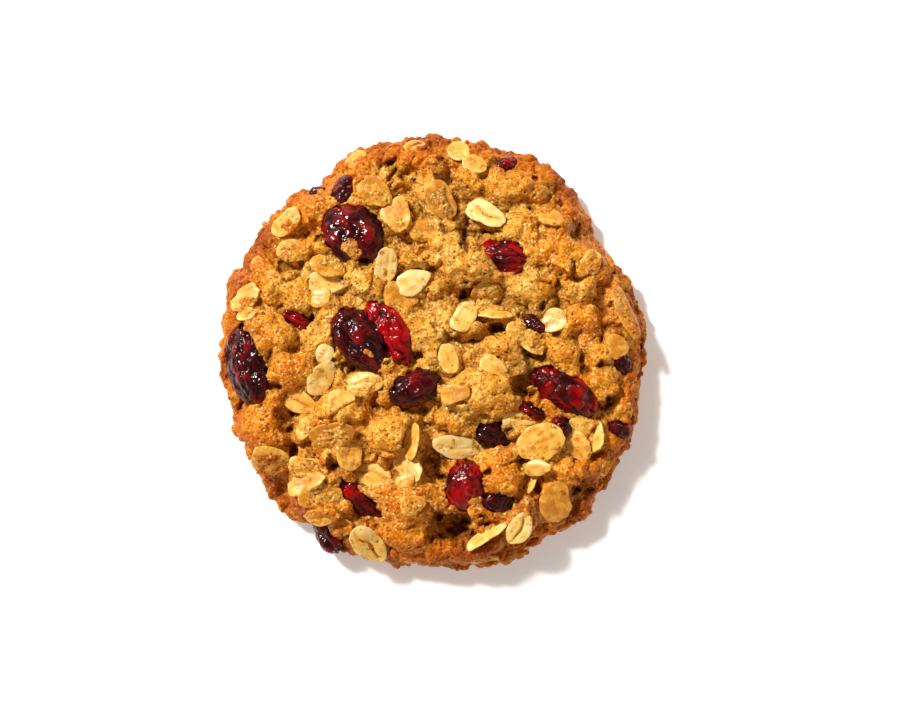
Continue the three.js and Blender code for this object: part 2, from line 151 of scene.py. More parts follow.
# Spans over which things set in or come to an end
SPANS = {
    "cliff_facing": (0.5, 0.85),
    "mound_edge": (0.5, 1.1),
    "pit_edge": (0.35, 1.0),
    "pit_facing": (-0.1, 0.3),
    "slab": (-0.3, 0.6),
    "slab_end": (35.0, 40.0),
    "crumb_rim": (36.0, 41.0),
    "pore_edge": (0.1, 0.24),
    "above_base": (0.0, 1.2),
    "slump_arc": (20.0, 75.0),
    "slump_reach": (34.0, 42.0),
    "steep_hole": (0.9, 1.1),
    "flake_hole": (0.98, 1.18),
    "groove_in": (0.96, 1.08),
    "groove_out": (1.12, 1.42),
    "groove_gaps": (-0.5, 0.3),
    "groove_height": (2.0, 4.0),
    "plate_edge": (0.95, 1.15),
    "stain": (-0.3, 0.4),
    "browning": (12.0, 46.0),
    "bare_edge": (-0.1, 0.35),
    "thin_coat": (-0.6, 0.2),
    "pit_shade": (0.2, 1.2),
    "rim": (34.0, 42.5),
    "base": (0.3, 2.4),
    "off_axis": (0.0, 0.25),
    "fold_gaps": (-0.6, 0.2),
}

# Clean oat flakes: x, y, length, width, turn, tilt, crease, tone from pale to brown, cover by dough
FLAKES = [
    (10.8, 26.9, 7.8, 4.6, -33, 0, 1, 0.08, 0.0),
    (-9.2, 17.1, 6.6, 4.2, 80, 10, 0, 0.15, 0.1),
    (-6.4, 10.9, 6.8, 5.2, -5, 0, 0, 0.65, 0.1),
    (-3.6, 13.7, 6.6, 4.4, 25, -12, 0, 0.12, 0.0),
    (-21.0, 13.5, 7.0, 3.8, -5, 40, 0, 0.30, 0.1),
    (-22.0, 10.5, 4.0, 3.8, 0, 0, 0, 0.60, 0.3),
    (-21.4, -0.5, 3.8, 3.4, 60, 30, 0, 0.10, 0.1),
    (-21.8, -5.3, 7.4, 4.8, 55, 10, 0, 0.25, 0.0),
    (-26.4, -10.1, 7.2, 4.2, -25, 0, 1, 0.50, 0.1),
    (-17.8, -9.5, 4.8, 3.4, 0, -15, 0, 0.45, 0.4),
    (3.4, -1.9, 5.8, 3.8, -69, 0, 0, 0.45, 0.1),
    (12.2, -3.1, 5.8, 3.4, -28, 15, 0, 0.50, 0.1),
    (12.0, 7.1, 7.6, 3.8, -6, -60, 0, 0.30, 0.0),
    (6.4, 6.5, 5.8, 4.4, 60, 15, 0, 0.30, 0.4),
    (24.2, 5.9, 5.6, 4.4, 10, 0, 0, 0.45, 0.1),
    (21.6, -3.1, 5.2, 3.4, 10, 0, 0, 0.50, 0.2),
    (18.2, -13.3, 8.4, 3.8, 3, 30, 1, 0.30, 0.0),
    (5.0, -19.1, 9.6, 4.4, -10, 20, 0, 0.12, 0.0),
    (21.8, -18.1, 9.2, 7.4, 20, 0, 0, 0.55, 0.15),
    (29.2, -19.1, 5.8, 4.4, -60, 15, 0, 0.50, 0.2),
    (33.0, -17.3, 5.6, 3.4, 80, -45, 0, 0.40, 0.1),
    (29.6, -14.7, 4.8, 3.4, -50, 0, 0, 0.50, 0.2),
    (21.2, -23.1, 5.2, 3.2, 8, 15, 0, 0.50, 0.1),
    (20.0, -26.5, 4.2, 2.8, 65, -60, 0, 0.40, 0.0),
    (24.6, -30.1, 8.4, 6.0, 100, 0, 0, 0.80, 0.2),
    (17.4, -34.9, 7.0, 4.4, 60, 0, 1, 0.15, 0.0),
    (11.0, -36.7, 8.8, 3.8, 31, -60, 0, 0.30, 0.0),
    (-12.4, -38.1, 9.0, 4.8, -45, 0, 1, 0.30, 0.0),
    (-11.6, -24.7, 6.8, 4.8, -18, 0, 1, 0.45, 0.1),
    (-4.4, -23.1, 6.8, 4.4, -45, 10, 0, 0.40, 0.1),
    (-5.0, -25.9, 3.8, 3.2, 30, 0, 0, 0.60, 0.2),
    (-3.6, -17.9, 7.0, 4.0, 80, -45, 0, 0.50, 0.2),
    (-16.6, -20.5, 5.8, 4.8, 70, 0, 0, 0.65, 0.1),
    (5.4, 39.7, 4.8, 4.2, -60, 0, 0, 0.55, 0.2),
    (8.6, 37.1, 4.6, 3.4, -20, 0, 0, 0.50, 0.1),
    (36.8, 0.7, 4.8, 4.6, 0, 0, 0, 0.70, 0.2),
]
FLAKE_THICKNESS = 0.65
FLAKE_OVERLAP = 1.4
FLAKE_GROWTH = 1.04
FLAKE_APART = 40.0
FLAKE_CLEARANCE = 1.1
FLAKE_FEELER = 0.28
FLAKE_LEAST_UP = 0.3
FLAKE_CREASE = 0.25
CAD_FLAKE_THICKNESS = 1.3
FLAKE_COVER = 0.06
COVER_LEVEL = 0.7
HOLE_DEPTH = 0.15
HOLE_REACH = 2.5
STEEP_TILT = 45
STEEP_GROUND = 0.5
STEEP_LONGER = 1.5
STEEP_NARROWER = 0.6
STEEP_WIDER = 2.5

# Form of a flake, with rings on its top and its underside
FLAKE_SIDES = 52
FLAKE_RINGS = (20, 5)
COATED_RINGS = (12, 3)
CAP_RINGS = (8, 4)
STREWN_RINGS = (6, 3)
RING_CROWDING = 1.6
UNDER_REACH = 0.9
OUTLINE_PLACE = 9
OUTLINE_POWER = 2.4
OUTLINE_WAVES = [(1.3, 1.0, 0), (3.1, 0.5, 7)]
FLAKE_UNEVEN = 0.11
CAP_UNEVEN = 0.2
FLAKE_TAPER = (0.05, 0.28)
FACE_PLACE = 5
FACE_WAVE = (2.6, 1.9)
FACE_HEIGHT = 0.14
PUCKER_FINENESS = 2.2
PUCKER_HEIGHT = 0.05
STREAK_WAVE = (4.0, 0.33)
STREAK_HEIGHT = 0.012
FLAKE_CURL = 0.4
CURL_ACROSS = (-0.6, 1)
CURL_ALONG = (-0.8, 0.5)
EDGE_THICKNESS = 0.3
EDGE_ROUNDING = 5
CREASE_WAVE = (3, math.inf)
CREASE_WANDER = 0.12
CREASE_WIDTH = 0.32
CREASE_DEPTH = 0.45
CREASE_END = 4

# Oat flakes that the dough coats: x, y, length, width, turn
COATED_FLAKES = [
    (-19.8, -17.1, 9.0, 7.0, 30),
    (-25.2, -15.3, 5.0, 3.0, 75),
    (-31.8, -21.3, 7.4, 5.6, -15),
    (-24.8, -23.1, 7.6, 4.0, 0),
    (-24.6, -26.1, 7.4, 4.0, 5),
    (-21.8, -28.6, 8.8, 4.4, -5),
    (-21.6, -32.7, 7.0, 3.8, 8),
    (-18.2, -35.1, 5.2, 3.6, 10),
    (-37.0, 10.5, 7.0, 4.4, 35),
    (-37.0, 7.2, 4.6, 3.4, -20),
    (-28.8, 25.5, 6.8, 4.4, 40),
    (-28.0, 19.9, 6.4, 4.8, 0),
    (-34.6, 17.1, 4.0, 3.4, 0),
    (-20.8, 16.8, 7.6, 4.4, -10),
    (-15.2, 38.1, 4.6, 3.8, 50),
    (-11.2, 31.3, 7.4, 5.0, -35),
    (-6.8, 26.7, 6.6, 6.0, -60),
    (1.6, 29.5, 8.0, 6.0, -50),
    (-1.8, 23.7, 5.2, 4.0, 0),
    (-3.4, 40.9, 4.6, 3.2, 40),
    (21.0, 31.5, 4.6, 3.0, 0),
    (23.6, 26.3, 5.0, 3.8, -20),
    (31.6, 17.7, 5.0, 4.0, 60),
    (38.6, 7.1, 11.4, 4.4, -66),
    (40.0, -7.7, 4.4, 3.2, 50),
    (38.4, -12.1, 4.2, 3.6, 70),
    (18.6, 2.5, 9.2, 4.2, -38),
    (10.8, 11.9, 6.2, 4.0, -10),
    (34.6, -23.1, 4.0, 3.0, 40),
    (26.4, -35.1, 5.2, 3.4, 30),
    (16.6, -41.1, 7.0, 3.2, 15),
    (10.4, -41.3, 6.0, 4.0, 0),
    (-2.8, -41.3, 9.0, 3.2, 0),
    (-13.2, -6.5, 7.4, 4.6, 10),
    (-3.8, -30.5, 5.2, 3.8, 10),
    (4.6, -8.7, 6.2, 3.6, 15),
]
COATED_FEELERS = ((0, 0), (1, 0), (-1, 0), (0, 1), (0, -1))
COATED_LIFT = 0.2
COATED_TONE = 0.7
COATED_TONE_SPREAD = 0.2
COATED_CREASE = 0.4
PLATE_THICKNESS = 1.3
PLATE_SINK = 0.1
PLATE_SEARCH = 0.6
PLATE_HEIGHT = 1.4
CAP_SHARE = 0.84
CAP_SHIFT = 0.14
RIM_START = 0.72
RIM_WIDTH = 0.25
GROOVE_DEPTH = 0.65
GROOVE_SEARCH = 0.8
GROOVE_TOP = 0.35

# Dark pits and slits between the lumps: x, y, length, width, turn, depth
PITS = [
    (29.0, 23.9, 2.4, 3.0, 0, 0.8),
    (6.4, 11.3, 3.2, 4.6, -20, 2.0),
    (13.2, 4.5, 3.4, 3.2, 0, 1.5),
    (8.6, 1.9, 5.0, 1.6, 0, 0.9),
    (2.6, -22.7, 4.6, 7.2, 0, 2.2),
    (5.4, -36.2, 12.0, 5.6, 8, 2.0),
    (10.0, -34.2, 5.6, 3.4, 25, 1.4),
    (0.6, -33.6, 4.2, 3.2, 40, 1.2),
    (20.2, -8.6, 4.4, 3.4, -20, 1.3),
    (-31.0, -6.9, 3.0, 3.4, 0, 0.8),
    (-28.0, -12.3, 3.4, 3.6, 0, 1.4),
    (-28.8, -16.1, 3.0, 2.4, 0, 1.6),
    (-27.4, -19.9, 2.0, 4.0, 0, 1.6),
    (-15.4, -3.9, 4.8, 3.0, -30, 1.3),
    (15.2, -15.9, 3.0, 2.2, 0, 1.5),
    (-32.2, -2.2, 1.8, 4.6, 0, 1.2),
    (-33.2, -9.6, 2.4, 2.4, 0, 1.4),
    (30.4, -4.0, 2.4, 2.6, 0, 1.3),
    (-19.8, 0.2, 1.8, 2.4, 0, 1.2),
    (10.8, -24.2, 2.0, 2.0, 0, 1.2),
    (-8.6, -2.8, 2.4, 2.0, 0, 1.0),
    (-8.6, 37.5, 2.6, 2.4, 0, 1.8),
    (-5.8, 34.3, 1.8, 1.8, 0, 1.4),
    (-7.8, 35.3, 4.0, 1.0, 60, 1.4),
    (1.8, 38.1, 2.0, 2.0, 0, 1.6),
    (3.4, 30.6, 9.4, 1.2, -70, 1.3),
    (6.2, 21.8, 4.6, 2.0, -75, 1.6),
    (11.0, 23.6, 11.5, 1.8, 0, 1.7),
    (2.2, 24.0, 3.4, 1.4, -60, 1.2),
    (16.6, 15.5, 4.0, 1.6, 0, 1.5),
    (-22.0, 22.5, 3.0, 1.2, 0, 1.4),
    (-24.0, 6.5, 1.8, 2.0, 0, 1.4),
    (-10.2, -7.1, 1.8, 1.8, 0, 1.4),
    (17.4, -21.7, 1.6, 2.2, 0, 1.4),
    (21.2, -27.1, 1.4, 3.2, 0, 1.6),
    (28.6, -28.1, 2.0, 2.2, 0, 1.4),
    (20.6, -0.7, 5.0, 1.6, -10, 1.0),
    (21.8, 8.7, 1.8, 1.8, 0, 1.2),
    (34.0, -2.5, 3.0, 2.4, 0, 1.4),
    (35.2, -10.9, 1.8, 5.0, 0, 1.6),
    (-18.8, -22.9, 3.4, 1.8, 0, 1.4),
    (-29.4, -27.9, 3.0, 6.0, -50, 0.8),
    (19.6, 28.3, 3.0, 1.2, 0, 1.2),
    (20.6, 34.3, 1.6, 1.4, 0, 1.2),
    (-4.6, -1.6, 2.0, 2.4, 0, 0.6),
    (-38.4, -10.9, 2.0, 5.0, 0, 1.6),
    (32.2, -27.9, 2.4, 1.0, 0, 1.2),
]

# Slabs that stand up from the crust: x, y, length, width, turn, height
MOUNDS = [
    (6.0, 18.4, 17.0, 6.6, -36, 0.9),
    (27.0, 16.6, 7.0, 5.0, -45, 0.9),
    (24.8, 13.5, 4.4, 4.0, 0, 0.9),
    (-3.4, 17.3, 4.0, 3.0, 0, 0.9),
    (10.6, 4.6, 3.0, 2.4, 0, 0.8),
    (-30.8, -11.9, 3.6, 3.6, 0, 1.0),
    (-14.6, -11.6, 6.5, 4.6, 0, 1.0),
    (-3.0, -13.2, 4.0, 3.0, 0, 0.9),
    (-15.2, -17.4, 5.0, 3.6, 20, 0.9),
    (-5.8, -17.5, 4.0, 3.6, 0, 0.9),
    (-8.4, -21.4, 4.6, 3.6, 0, 0.9),
    (-13.6, -22.9, 3.0, 2.4, 0, 0.8),
]

# Lumps of dough that close in on the berries or stand out alone: x, y, radius
LUMPS = [
    (1.8, 41.1, 1.6),
    (-30.6, 17.0, 1.8),
    (-21.2, 6.5, 1.6),
    (-25.8, 9.1, 1.5),
    (-16.0, 20.7, 1.7),
    (-15.2, 19.2, 1.2),
    (-12.6, -0.4, 0.9),
    (-12.0, -1.0, 0.7),
    (-22.3, -0.4, 1.2),
    (22.6, -10.6, 1.3),
    (8.6, -29.6, 1.3),
    (4.2, -31.4, 1.2),
]
LUMP_SINK = 0.35
RIM_LUMP_HEIGHT = 5.0
EDGE_LUMP_BERRY = 4.5
EDGE_LUMP_SPACING = 2.0
EDGE_LUMP_RADIUS = (0.7, 1.5)
EDGE_LUMP_SHARE = 0.65
EDGE_LUMP_JITTER = 0.3
EDGE_LUMP_ARC = 0.2
EDGE_LUMP_OUT = 0.3
EDGE_LUMP_SINK = 0.2
BLOB_SIDES = 10
BLOB_RINGS = 6
BLOB_UNEVEN = 0.08
BLOB_WIDTH = (0.7, 1.1)
BLOB_HEIGHT = (0.5, 0.9)

# Small lumps and coated flakes that are strewn over the crust
TOP_REACH = 40.0
STREWN_FLAKES = 100
STREWN_LENGTH = (3.6, 6.6)
STREWN_WIDTH = (2.4, 4.0)
STREWN_THICKNESS = (0.8, 1.3)
STREWN_TILT = 20
STREWN_SINK = 0.2
SIDE_SHARE = 0.2
SIDE_HEIGHTS = (1.2, 6.5)
SIDE_TILT = 6
SIDE_SINK = 0.45
STREWN_CRUMBS = 700
SIDE_CRUMB_SHARE = 0.5
SIDE_CRUMB_HEIGHTS = (0.8, 8)
CRUMB_RADIUS = (0.5, 1.3)

# Cranberries
HUG_REACH = 1.3
HUG_LIFT = 0.4
HUG_STEEPNESS = 2
HUG_SHARE = 0.75
BERRY_GROWTH = 0.1
BERRY_LOWEST = 0.2
BERRY_SUBDIVISIONS = 3
BERRY_SALT = 100
BERRY_SALT_STEP = 10
LONG_BERRY = 10.0
DRIFT_WAVE = 4.0
BERRY_FOLDS = 7
FOLD_DRIFT = 1.7
FOLD_TWIST = 0.9
FOLD_WANDER = 0.8
FOLD_WAVE = 1.8
FOLD_DEPTH = 0.15
KNOB_SIZE = 1.7
KNOB_ROUNDNESS = 0.9
KNOB_LEVEL = 0.6
KNOB_HEIGHT = 0.3
DENT_WAVE = 2.8
DENT_HEIGHT = 0.5
SWELL_WAVE = 5.0
SWELL_HEIGHT = 0.5
BERRY_HIGHEST = 0.4

# Wrinkles of a berry: waves on its axes, salt, width, depth, share in its painted fold shade
WRINKLES = [
    ((2.8, 1.7, 1.7), 5, 0.2, 0.38, 0.5),
    ((1.4, 0.9, 0.9), 7, 0.22, 0.2, 0.25),
]

# How much deeper in colour a berry is than most: its own tone, and for cranberry_11, which lies in a
# hollow, painted shade
BERRY_SHADES = {
    "cranberry_02": -0.1,
    "cranberry_05": 0.12,
    "cranberry_07": 0.08,
    "cranberry_09": -0.08,
    "cranberry_11": 0.14,
    "cranberry_12": 0.1,
    "cranberry_14": 0.08,
    "cranberry_15": 0.06,
    "cranberry_17": 0.1,
}

# Colours in linear light, with the places of the stops of the ramps
RED_STOPS = [
    (0.30, (0.48, 0.004, 0.004)),
    (0.52, (0.33, 0.0, 0.002)),
    (0.70, (0.12, 0.0, 0.001)),
    (0.88, (0.025, 0.0, 0.001)),
]
DARK_STOPS = [
    (0.34, (0.26, 0.003, 0.006)),
    (0.46, (0.13, 0.001, 0.004)),
    (0.58, (0.05, 0.0, 0.002)),
    (0.75, (0.012, 0.0, 0.0)),
]
DOUGH_STOPS = [
    (0.36, (0.88, 0.52, 0.10)),
    (0.56, (0.86, 0.38, 0.028)),
    (0.76, (0.74, 0.24, 0.006)),
    (0.94, (0.52, 0.12, 0.002)),
    (1.0, (0.34, 0.055, 0.001)),
]
FLAKE_STOPS = [
    (0.0, (0.99, 0.76, 0.32)),
    (0.2, (0.98, 0.65, 0.18)),
    (0.4, (0.94, 0.53, 0.10)),
    (0.7, (0.84, 0.39, 0.04)),
    (1.0, (0.60, 0.21, 0.008)),
]
FLAKE_COAT_COLOUR = (0.66, 0.25, 0.016)
FRECKLE_COLOUR = (0.30, 0.09, 0.006)

# Layers over the toasted dough: what says where, its low and high with the share at each, colour
DOUGH_LAYERS = [
    ("slab", (0.0, 0.7, 0.6, 0.0), (0.72, 0.42, 0.08)),
    ("pale", (0.0, 1.0, 0.0, 0.6), (0.90, 0.58, 0.15)),
    # darker in the gaps between the grains, as painted shade
    ("pebble", (0.42, 0.62, 0.0, 0.4), (0.52, 0.15, 0.005)),
    # painted highlights: pale specks, fewer at the rim
    ("painted_highlight_speck", (0.0, 1.0, 0.0, 1.0), (0.98, 0.72, 0.26)),
    ("speck", (0.44, 0.32, 0.0, 0.7), (0.42, 0.11, 0.003)),
    ("rim", (0.0, 1.0, 0.0, 0.9), (0.84, 0.68, 0.26), "MULTIPLY"),
    ("stain", (0.0, 1.0, 0.0, 0.6), (0.40, 0.07, 0.006)),
    ("glint", (0.0, 1.0, 0.0, 1.0), (1.0, 0.88, 0.58)),
    # painted shade in the pinholes
    ("pore", (0.0, 1.0, 0.0, 0.85), (0.16, 0.035, 0.002)),
    # painted shade in the hollows of the crumb
    ("crevice_shade", (0.2, 0.9, 0.0, 0.7), (0.22, 0.05, 0.002)),
    # painted shade in the pits, deeper ones darker
    ("pit", (0.0, 1.0, 0.0, 0.8), (0.14, 0.026, 0.003)),
    ("base", (0.0, 1.0, 0.0, 0.6), (0.36, 0.12, 0.012)),
]


# Repeatable noise

def hashed(cells, salt):
    """Numbers from 0 to 1 that belong to whole-number cells."""
    whole = cells.astype(np.int64).astype(np.uint32)
    mixed = np.full(len(cells), salt * HASH_SALT_STEP + HASH_SALT_START, np.uint32)
    for axis, factor in enumerate(HASH_AXES):
        mixed ^= whole[:, axis] * np.uint32(factor)
    for shift, factor in HASH_ROUNDS:
        mixed ^= mixed >> np.uint32(shift)
        mixed *= np.uint32(factor)
    mixed ^= mixed >> np.uint32(HASH_LAST_SHIFT)
    return mixed / HASH_RANGE


def wavy(points, salt):
    """Smooth noise from about -1 to 1, with one wave to a unit of length."""
    corner = np.floor(points)
    part = points - corner
    ease = part * part * part * (part * (part * 6 - 15) + 10)
    total = np.zeros(len(points))
    for step in itertools.product((0, 1), repeat=3):
        weight = np.prod(np.where(step, ease, 1 - ease), axis=1)
        total += weight * (2 * hashed(corner + step, salt) - 1)
    return total


def waves(points, name):
    """One of the named waves of noise."""
    length, salt, height = WAVES[name]
    return height * wavy(points / length, salt)


def grainy(points, salt):
    """Distance to the nearest of one loose point to a unit cell, and that point's own number."""
    corner = np.floor(points)
    nearest = np.full(len(points), math.inf)
    number = np.zeros(len(points))
    for step in itertools.product((-1, 0, 1), repeat=3):
        cell = corner + step
        gap = np.zeros(len(points))
        for axis in range(3):
            gap += (cell[:, axis] + hashed(cell, salt + axis) - points[:, axis]) ** 2
        closer = gap < nearest
        nearest[closer] = gap[closer]
        number[closer] = hashed(cell[closer], salt + 3)
    return np.sqrt(nearest), number


def eased(low, high, values):
    """A smooth step from 0 at low to 1 at high."""
    share = np.clip((values - low) / (high - low), 0, 1)
    return share * share * (3 - 2 * share)


def over(span, values):
    """A smooth step from 0 to 1 over one of the named spans."""
    return eased(*SPANS[span], values)


def patches(points, name):
    """Uneven patches from 0 to 1, where the waves of a name rise over its span."""
    return over(name, waves(points, name))


# Meshes as arrays in millimetres

def arrays_of(mesh):
    """Vertices, triangles and edges of a mesh."""
    mesh.calc_loop_triangles()
    arrays = []
    for items, key, kind, width in (
        (mesh.vertices, "co", float, 3),
        (mesh.loop_triangles, "vertices", np.int32, 3),
        (mesh.edges, "vertices", np.int32, 2),
    ):
        values = np.zeros(len(items) * width, kind)
        items.foreach_get(key, values)
        arrays.append(values.reshape(-1, width))
    return arrays


def cad_arrays(node):
    """Welded vertices in millimetres, and triangles, of a CAD node."""
    points, triangles, _ = arrays_of(frame["nodes"][node].data)
    points = points / MM
    _, first, to = np.unique(np.round(points, 3), axis=0, return_index=True, return_inverse=True)
    return points[first], to.reshape(-1)[triangles]


def mesh_of(name, points, triangles):
    mesh = bpy.data.meshes.new(name)
    mesh.from_pydata(points.tolist(), [], triangles.tolist())
    mesh.update()
    return mesh


def modified(points, triangles, kind, **settings):
    """The arrays of a mesh after one modifier."""
    mesh = mesh_of("working", points, triangles)
    item = bpy.data.objects.new("working", mesh)
    bpy.context.scene.collection.objects.link(item)
    modifier = item.modifiers.new(kind, kind)
    for key, value in settings.items():
        setattr(modifier, key, value)
    graph = bpy.context.evaluated_depsgraph_get()
    result = bpy.data.meshes.new_from_object(item.evaluated_get(graph))
    arrays = arrays_of(result)
    bpy.data.objects.remove(item)
    bpy.data.meshes.remove(mesh)
    bpy.data.meshes.remove(result)
    return arrays


def joined(shells):
    """Points and triangles of several shells as one mesh."""
    points = np.concatenate([shell[0] for shell in shells])
    starts = np.cumsum([0] + [len(shell[0]) for shell in shells[:-1]])
    triangles = np.concatenate([shell[1] + start for shell, start in zip(shells, starts)])
    return points, triangles


def united(shells, voxel):
    """One outer skin around overlapping closed shells."""
    return modified(*joined(shells), "REMESH", mode="VOXEL", voxel_size=voxel)


def neighbour_mean(values, edges):
    """Mean of each vertex's neighbours."""
    count = np.bincount(edges.ravel(), minlength=len(values))
    columns = []
    for column in values.reshape(len(values), -1).T:
        total = np.bincount(edges[:, 0], column[edges[:, 1]], len(values))
        total += np.bincount(edges[:, 1], column[edges[:, 0]], len(values))
        columns.append(total / np.maximum(count, 1))
    return np.stack(columns, 1).reshape(values.shape)


def smoothed(values, edges, steps):
    """Values that move half of the way to the mean of their neighbours at each step."""
    for _ in range(steps):
        values = values + 0.5 * (neighbour_mean(values, edges) - values)
    return values


def normals_of(points, triangles):
    """Normal of each vertex, from the triangles around it."""
    a, b, c = (points[triangles[:, corner]] for corner in range(3))
    face = np.cross(b - a, c - a)
    columns = []
    for axis in range(3):
        columns.append(sum(np.bincount(triangles[:, k], face[:, axis], len(points)) for k in range(3)))
    normals = np.stack(columns, 1)
    return normals / np.maximum(np.linalg.norm(normals, axis=1, keepdims=True), SHORTEST_NORMAL)


def piece(name, points, triangles, material, slot, replaced=None):
    """A smooth-shaded piece of the cookie from arrays in millimetres."""
    mesh = mesh_of(name, points * MM, triangles)
    mesh.polygons.foreach_set("use_smooth", np.ones(len(mesh.polygons), bool))
    mesh.materials.append(material)
    item = bpy.data.objects.new(name, mesh)
    bpy.context.scene.collection.objects.link(item)
    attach(item, "root")
    if replaced:
        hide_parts(replaced)
    return item


def attribute(item, name, values):
    layer = item.data.attributes.new(name, "FLOAT", "POINT")
    layer.data.foreach_set("value", values.astype(np.float32))


# Shapes

def reach_of(points):
    return np.hypot(points[:, 0], points[:, 1])


def oval_distance(x, y, oval):
    """Distance from an oval's centre, as a share of the way to its edge."""
    centre_x, centre_y, length, width, turn = oval[:5]
    angle = math.radians(turn)
    along = (x - centre_x) * math.cos(angle) + (y - centre_y) * math.sin(angle)
    across = (y - centre_y) * math.cos(angle) - (x - centre_x) * math.sin(angle)
    return np.hypot(along / (length / 2), across / (width / 2))


def local_distance(local, length, width):
    """Distance from a flake's centre on its own axes, as a share of the way to its edge."""
    return np.hypot(local[:, 0] / (length / 2), local[:, 1] / (width / 2))


def dome(distance, reach):
    """A round hump over a point, from the distance to it."""
    return np.sqrt(np.clip(1 - (distance / reach) ** 2, 0, 1))


def ring_triangles(rings, sides):
    """Triangles of rings of points between a first and a last point."""
    triangles = []
    for k in range(sides):
        triangles.append((0, 1 + k, 1 + (k + 1) % sides))
    for ring in range(rings - 1):
        a, b = 1 + ring * sides, 1 + (ring + 1) * sides
        for k in range(sides):
            n = (k + 1) % sides
            triangles.append((a + k, b + k, b + n))
            triangles.append((a + k, b + n, a + n))
    last, end = 1 + (rings - 1) * sides, 1 + rings * sides
    for k in range(sides):
        triangles.append((end, last + (k + 1) % sides, last + k))
    return np.array(triangles, np.int32)


def flake_outline(angles, salt, uneven):
    """Reach of a flake's outline at each angle: a full oval with a few waves."""
    round_trip = np.stack([np.cos(angles), np.sin(angles), np.zeros(len(angles))], 1)
    wobble = np.zeros(len(angles))
    for fineness, height, step in OUTLINE_WAVES:
        wobble += height * wavy(fineness * round_trip + OUTLINE_PLACE, salt + step)
    full = np.abs(np.cos(angles)) ** OUTLINE_POWER + np.abs(np.sin(angles)) ** OUTLINE_POWER
    return full ** (-1 / OUTLINE_POWER) * (1 + uneven * wobble)


def flake_rings(rings, under_rings):
    """Share of the way to the edge, and side, of each ring from the top's middle to the underside's."""
    top = [(1 - (1 - level / rings) ** RING_CROWDING, 1) for level in range(1, rings + 1)]
    return top + [(1 - level / under_rings * UNDER_REACH, -1) for level in range(under_rings)]


def face_places(x, y, wave):
    """Places on a flake's face for noise with waves of its own length and width."""
    return np.stack([x / wave[0], y / wave[1], np.zeros(len(x))], 1) + FACE_PLACE


def flake_shell(length, width, thickness, random, rings, crease=0.0, uneven=FLAKE_UNEVEN):
    """A closed oat flake: an oval with a narrow end, curled, creased and streaked along its length."""
    angles = np.linspace(0, 2 * math.pi, FLAKE_SIDES, endpoint=False)
    salt = int(random.integers(1, SALTS))
    reach = flake_outline(angles, salt, uneven)
    taper = random.uniform(*FLAKE_TAPER)
    rows = []
    for share, side in flake_rings(*rings):
        x = 0.5 * length * share * reach * np.cos(angles)
        y = 0.5 * width * share * reach * np.sin(angles) * (1 - taper * 2 * x / length)
        rows.append(np.stack([x, y, np.full(FLAKE_SIDES, share), np.full(FLAKE_SIDES, side)], 1))
    x, y, edge, side = np.concatenate([[[0, 0, 0, 1]], *rows, [[0, 0, 0, -1]]]).T
    spot = face_places(x, y, FACE_WAVE)
    form = FACE_HEIGHT * wavy(spot, salt + 1)
    form -= FLAKE_CURL * (2 * y / width) ** 2 * random.uniform(*CURL_ACROSS)
    form += FLAKE_CURL * (2 * x / length) ** 2 * random.uniform(*CURL_ALONG)
    rounding = np.sqrt(np.clip(1 - edge**EDGE_ROUNDING, 0, 1))
    half = 0.5 * thickness * (EDGE_THICKNESS + (1 - EDGE_THICKNESS) * rounding)
    top = STREAK_HEIGHT * wavy(face_places(x, y, STREAK_WAVE), salt + 2)
    top += PUCKER_HEIGHT * wavy(PUCKER_FINENESS * spot, salt + 4)
    groove = y + CREASE_WANDER * width * wavy(face_places(x, y, CREASE_WAVE), salt + 3)
    line = crease * np.exp(-((groove / CREASE_WIDTH) ** 2)) * (1 - edge**CREASE_END)
    z = form + np.where(side > 0, half + top - CREASE_DEPTH * line, -half)
    return np.stack([x, y, z], 1), ring_triangles(len(rows), FLAKE_SIDES), edge, line


def blob(random, radius):
    """A small uneven lump."""
    heights = np.cos(np.linspace(0, math.pi, BLOB_RINGS + 2))[1:-1]
    angles = np.linspace(0, 2 * math.pi, BLOB_SIDES, endpoint=False)
    rows = [[0, 0, 1]]
    for height in heights:
        wide = math.sqrt(1 - height * height)
        rows.extend([wide * math.cos(angle), wide * math.sin(angle), height] for angle in angles)
    rows.append([0, 0, -1])
    points = np.array(rows) * (1 + BLOB_UNEVEN * random.standard_normal((len(rows), 1)))
    points = points * radius * np.array([1, random.uniform(*BLOB_WIDTH), random.uniform(*BLOB_HEIGHT)])
    return points, ring_triangles(BLOB_RINGS, BLOB_SIDES)


# Places on the crust

def axes_of(normal, turn):
    """Rows ahead, side and normal of a patch that lies on the crust and points along a turn."""
    heading = np.array([math.cos(math.radians(turn)), math.sin(math.radians(turn)), 0.0])
    ahead = heading - normal * (heading @ normal)
    ahead /= np.linalg.norm(ahead)
    return np.stack([ahead, np.cross(normal, ahead), normal])


class Crust:
    """The steepened dough's surface, to lay things on."""

    def __init__(self, points, triangles):
        self.tree = BVHTree.FromPolygons(points.tolist(), triangles.tolist())

    def hit(self, start, towards):
        """Place and normal where a ray meets the surface, or None."""
        spot, normal, _, _ = self.tree.ray_cast(start, towards)
        return None if spot is None else (np.array(spot), np.array(normal))

    def under(self, x, y):
        """Place and normal of the surface straight below a point of the plan view."""
        return self.hit(Vector((x, y, RAY_HEIGHT)), DOWN)

    def from_side(self, angle, height):
        """Place and normal of the side wall at an angle and a height."""
        out = Vector((math.cos(angle), math.sin(angle), 0))
        return self.hit(out * RAY_REACH + Vector((0, 0, height)), -out)


def berry_names():
    return [name for name in frame["nodes"] if name.startswith("cranberry")]


def berry_discs():
    """Centre and radius in the plan view of each berry."""
    discs = []
    for name in berry_names():
        low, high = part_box(name)
        middle, size = (low + high) / 2 / MM, (high - low) / MM
        discs.append((middle.x, middle.y, 0.5 * max(size.x, size.y)))
    return discs


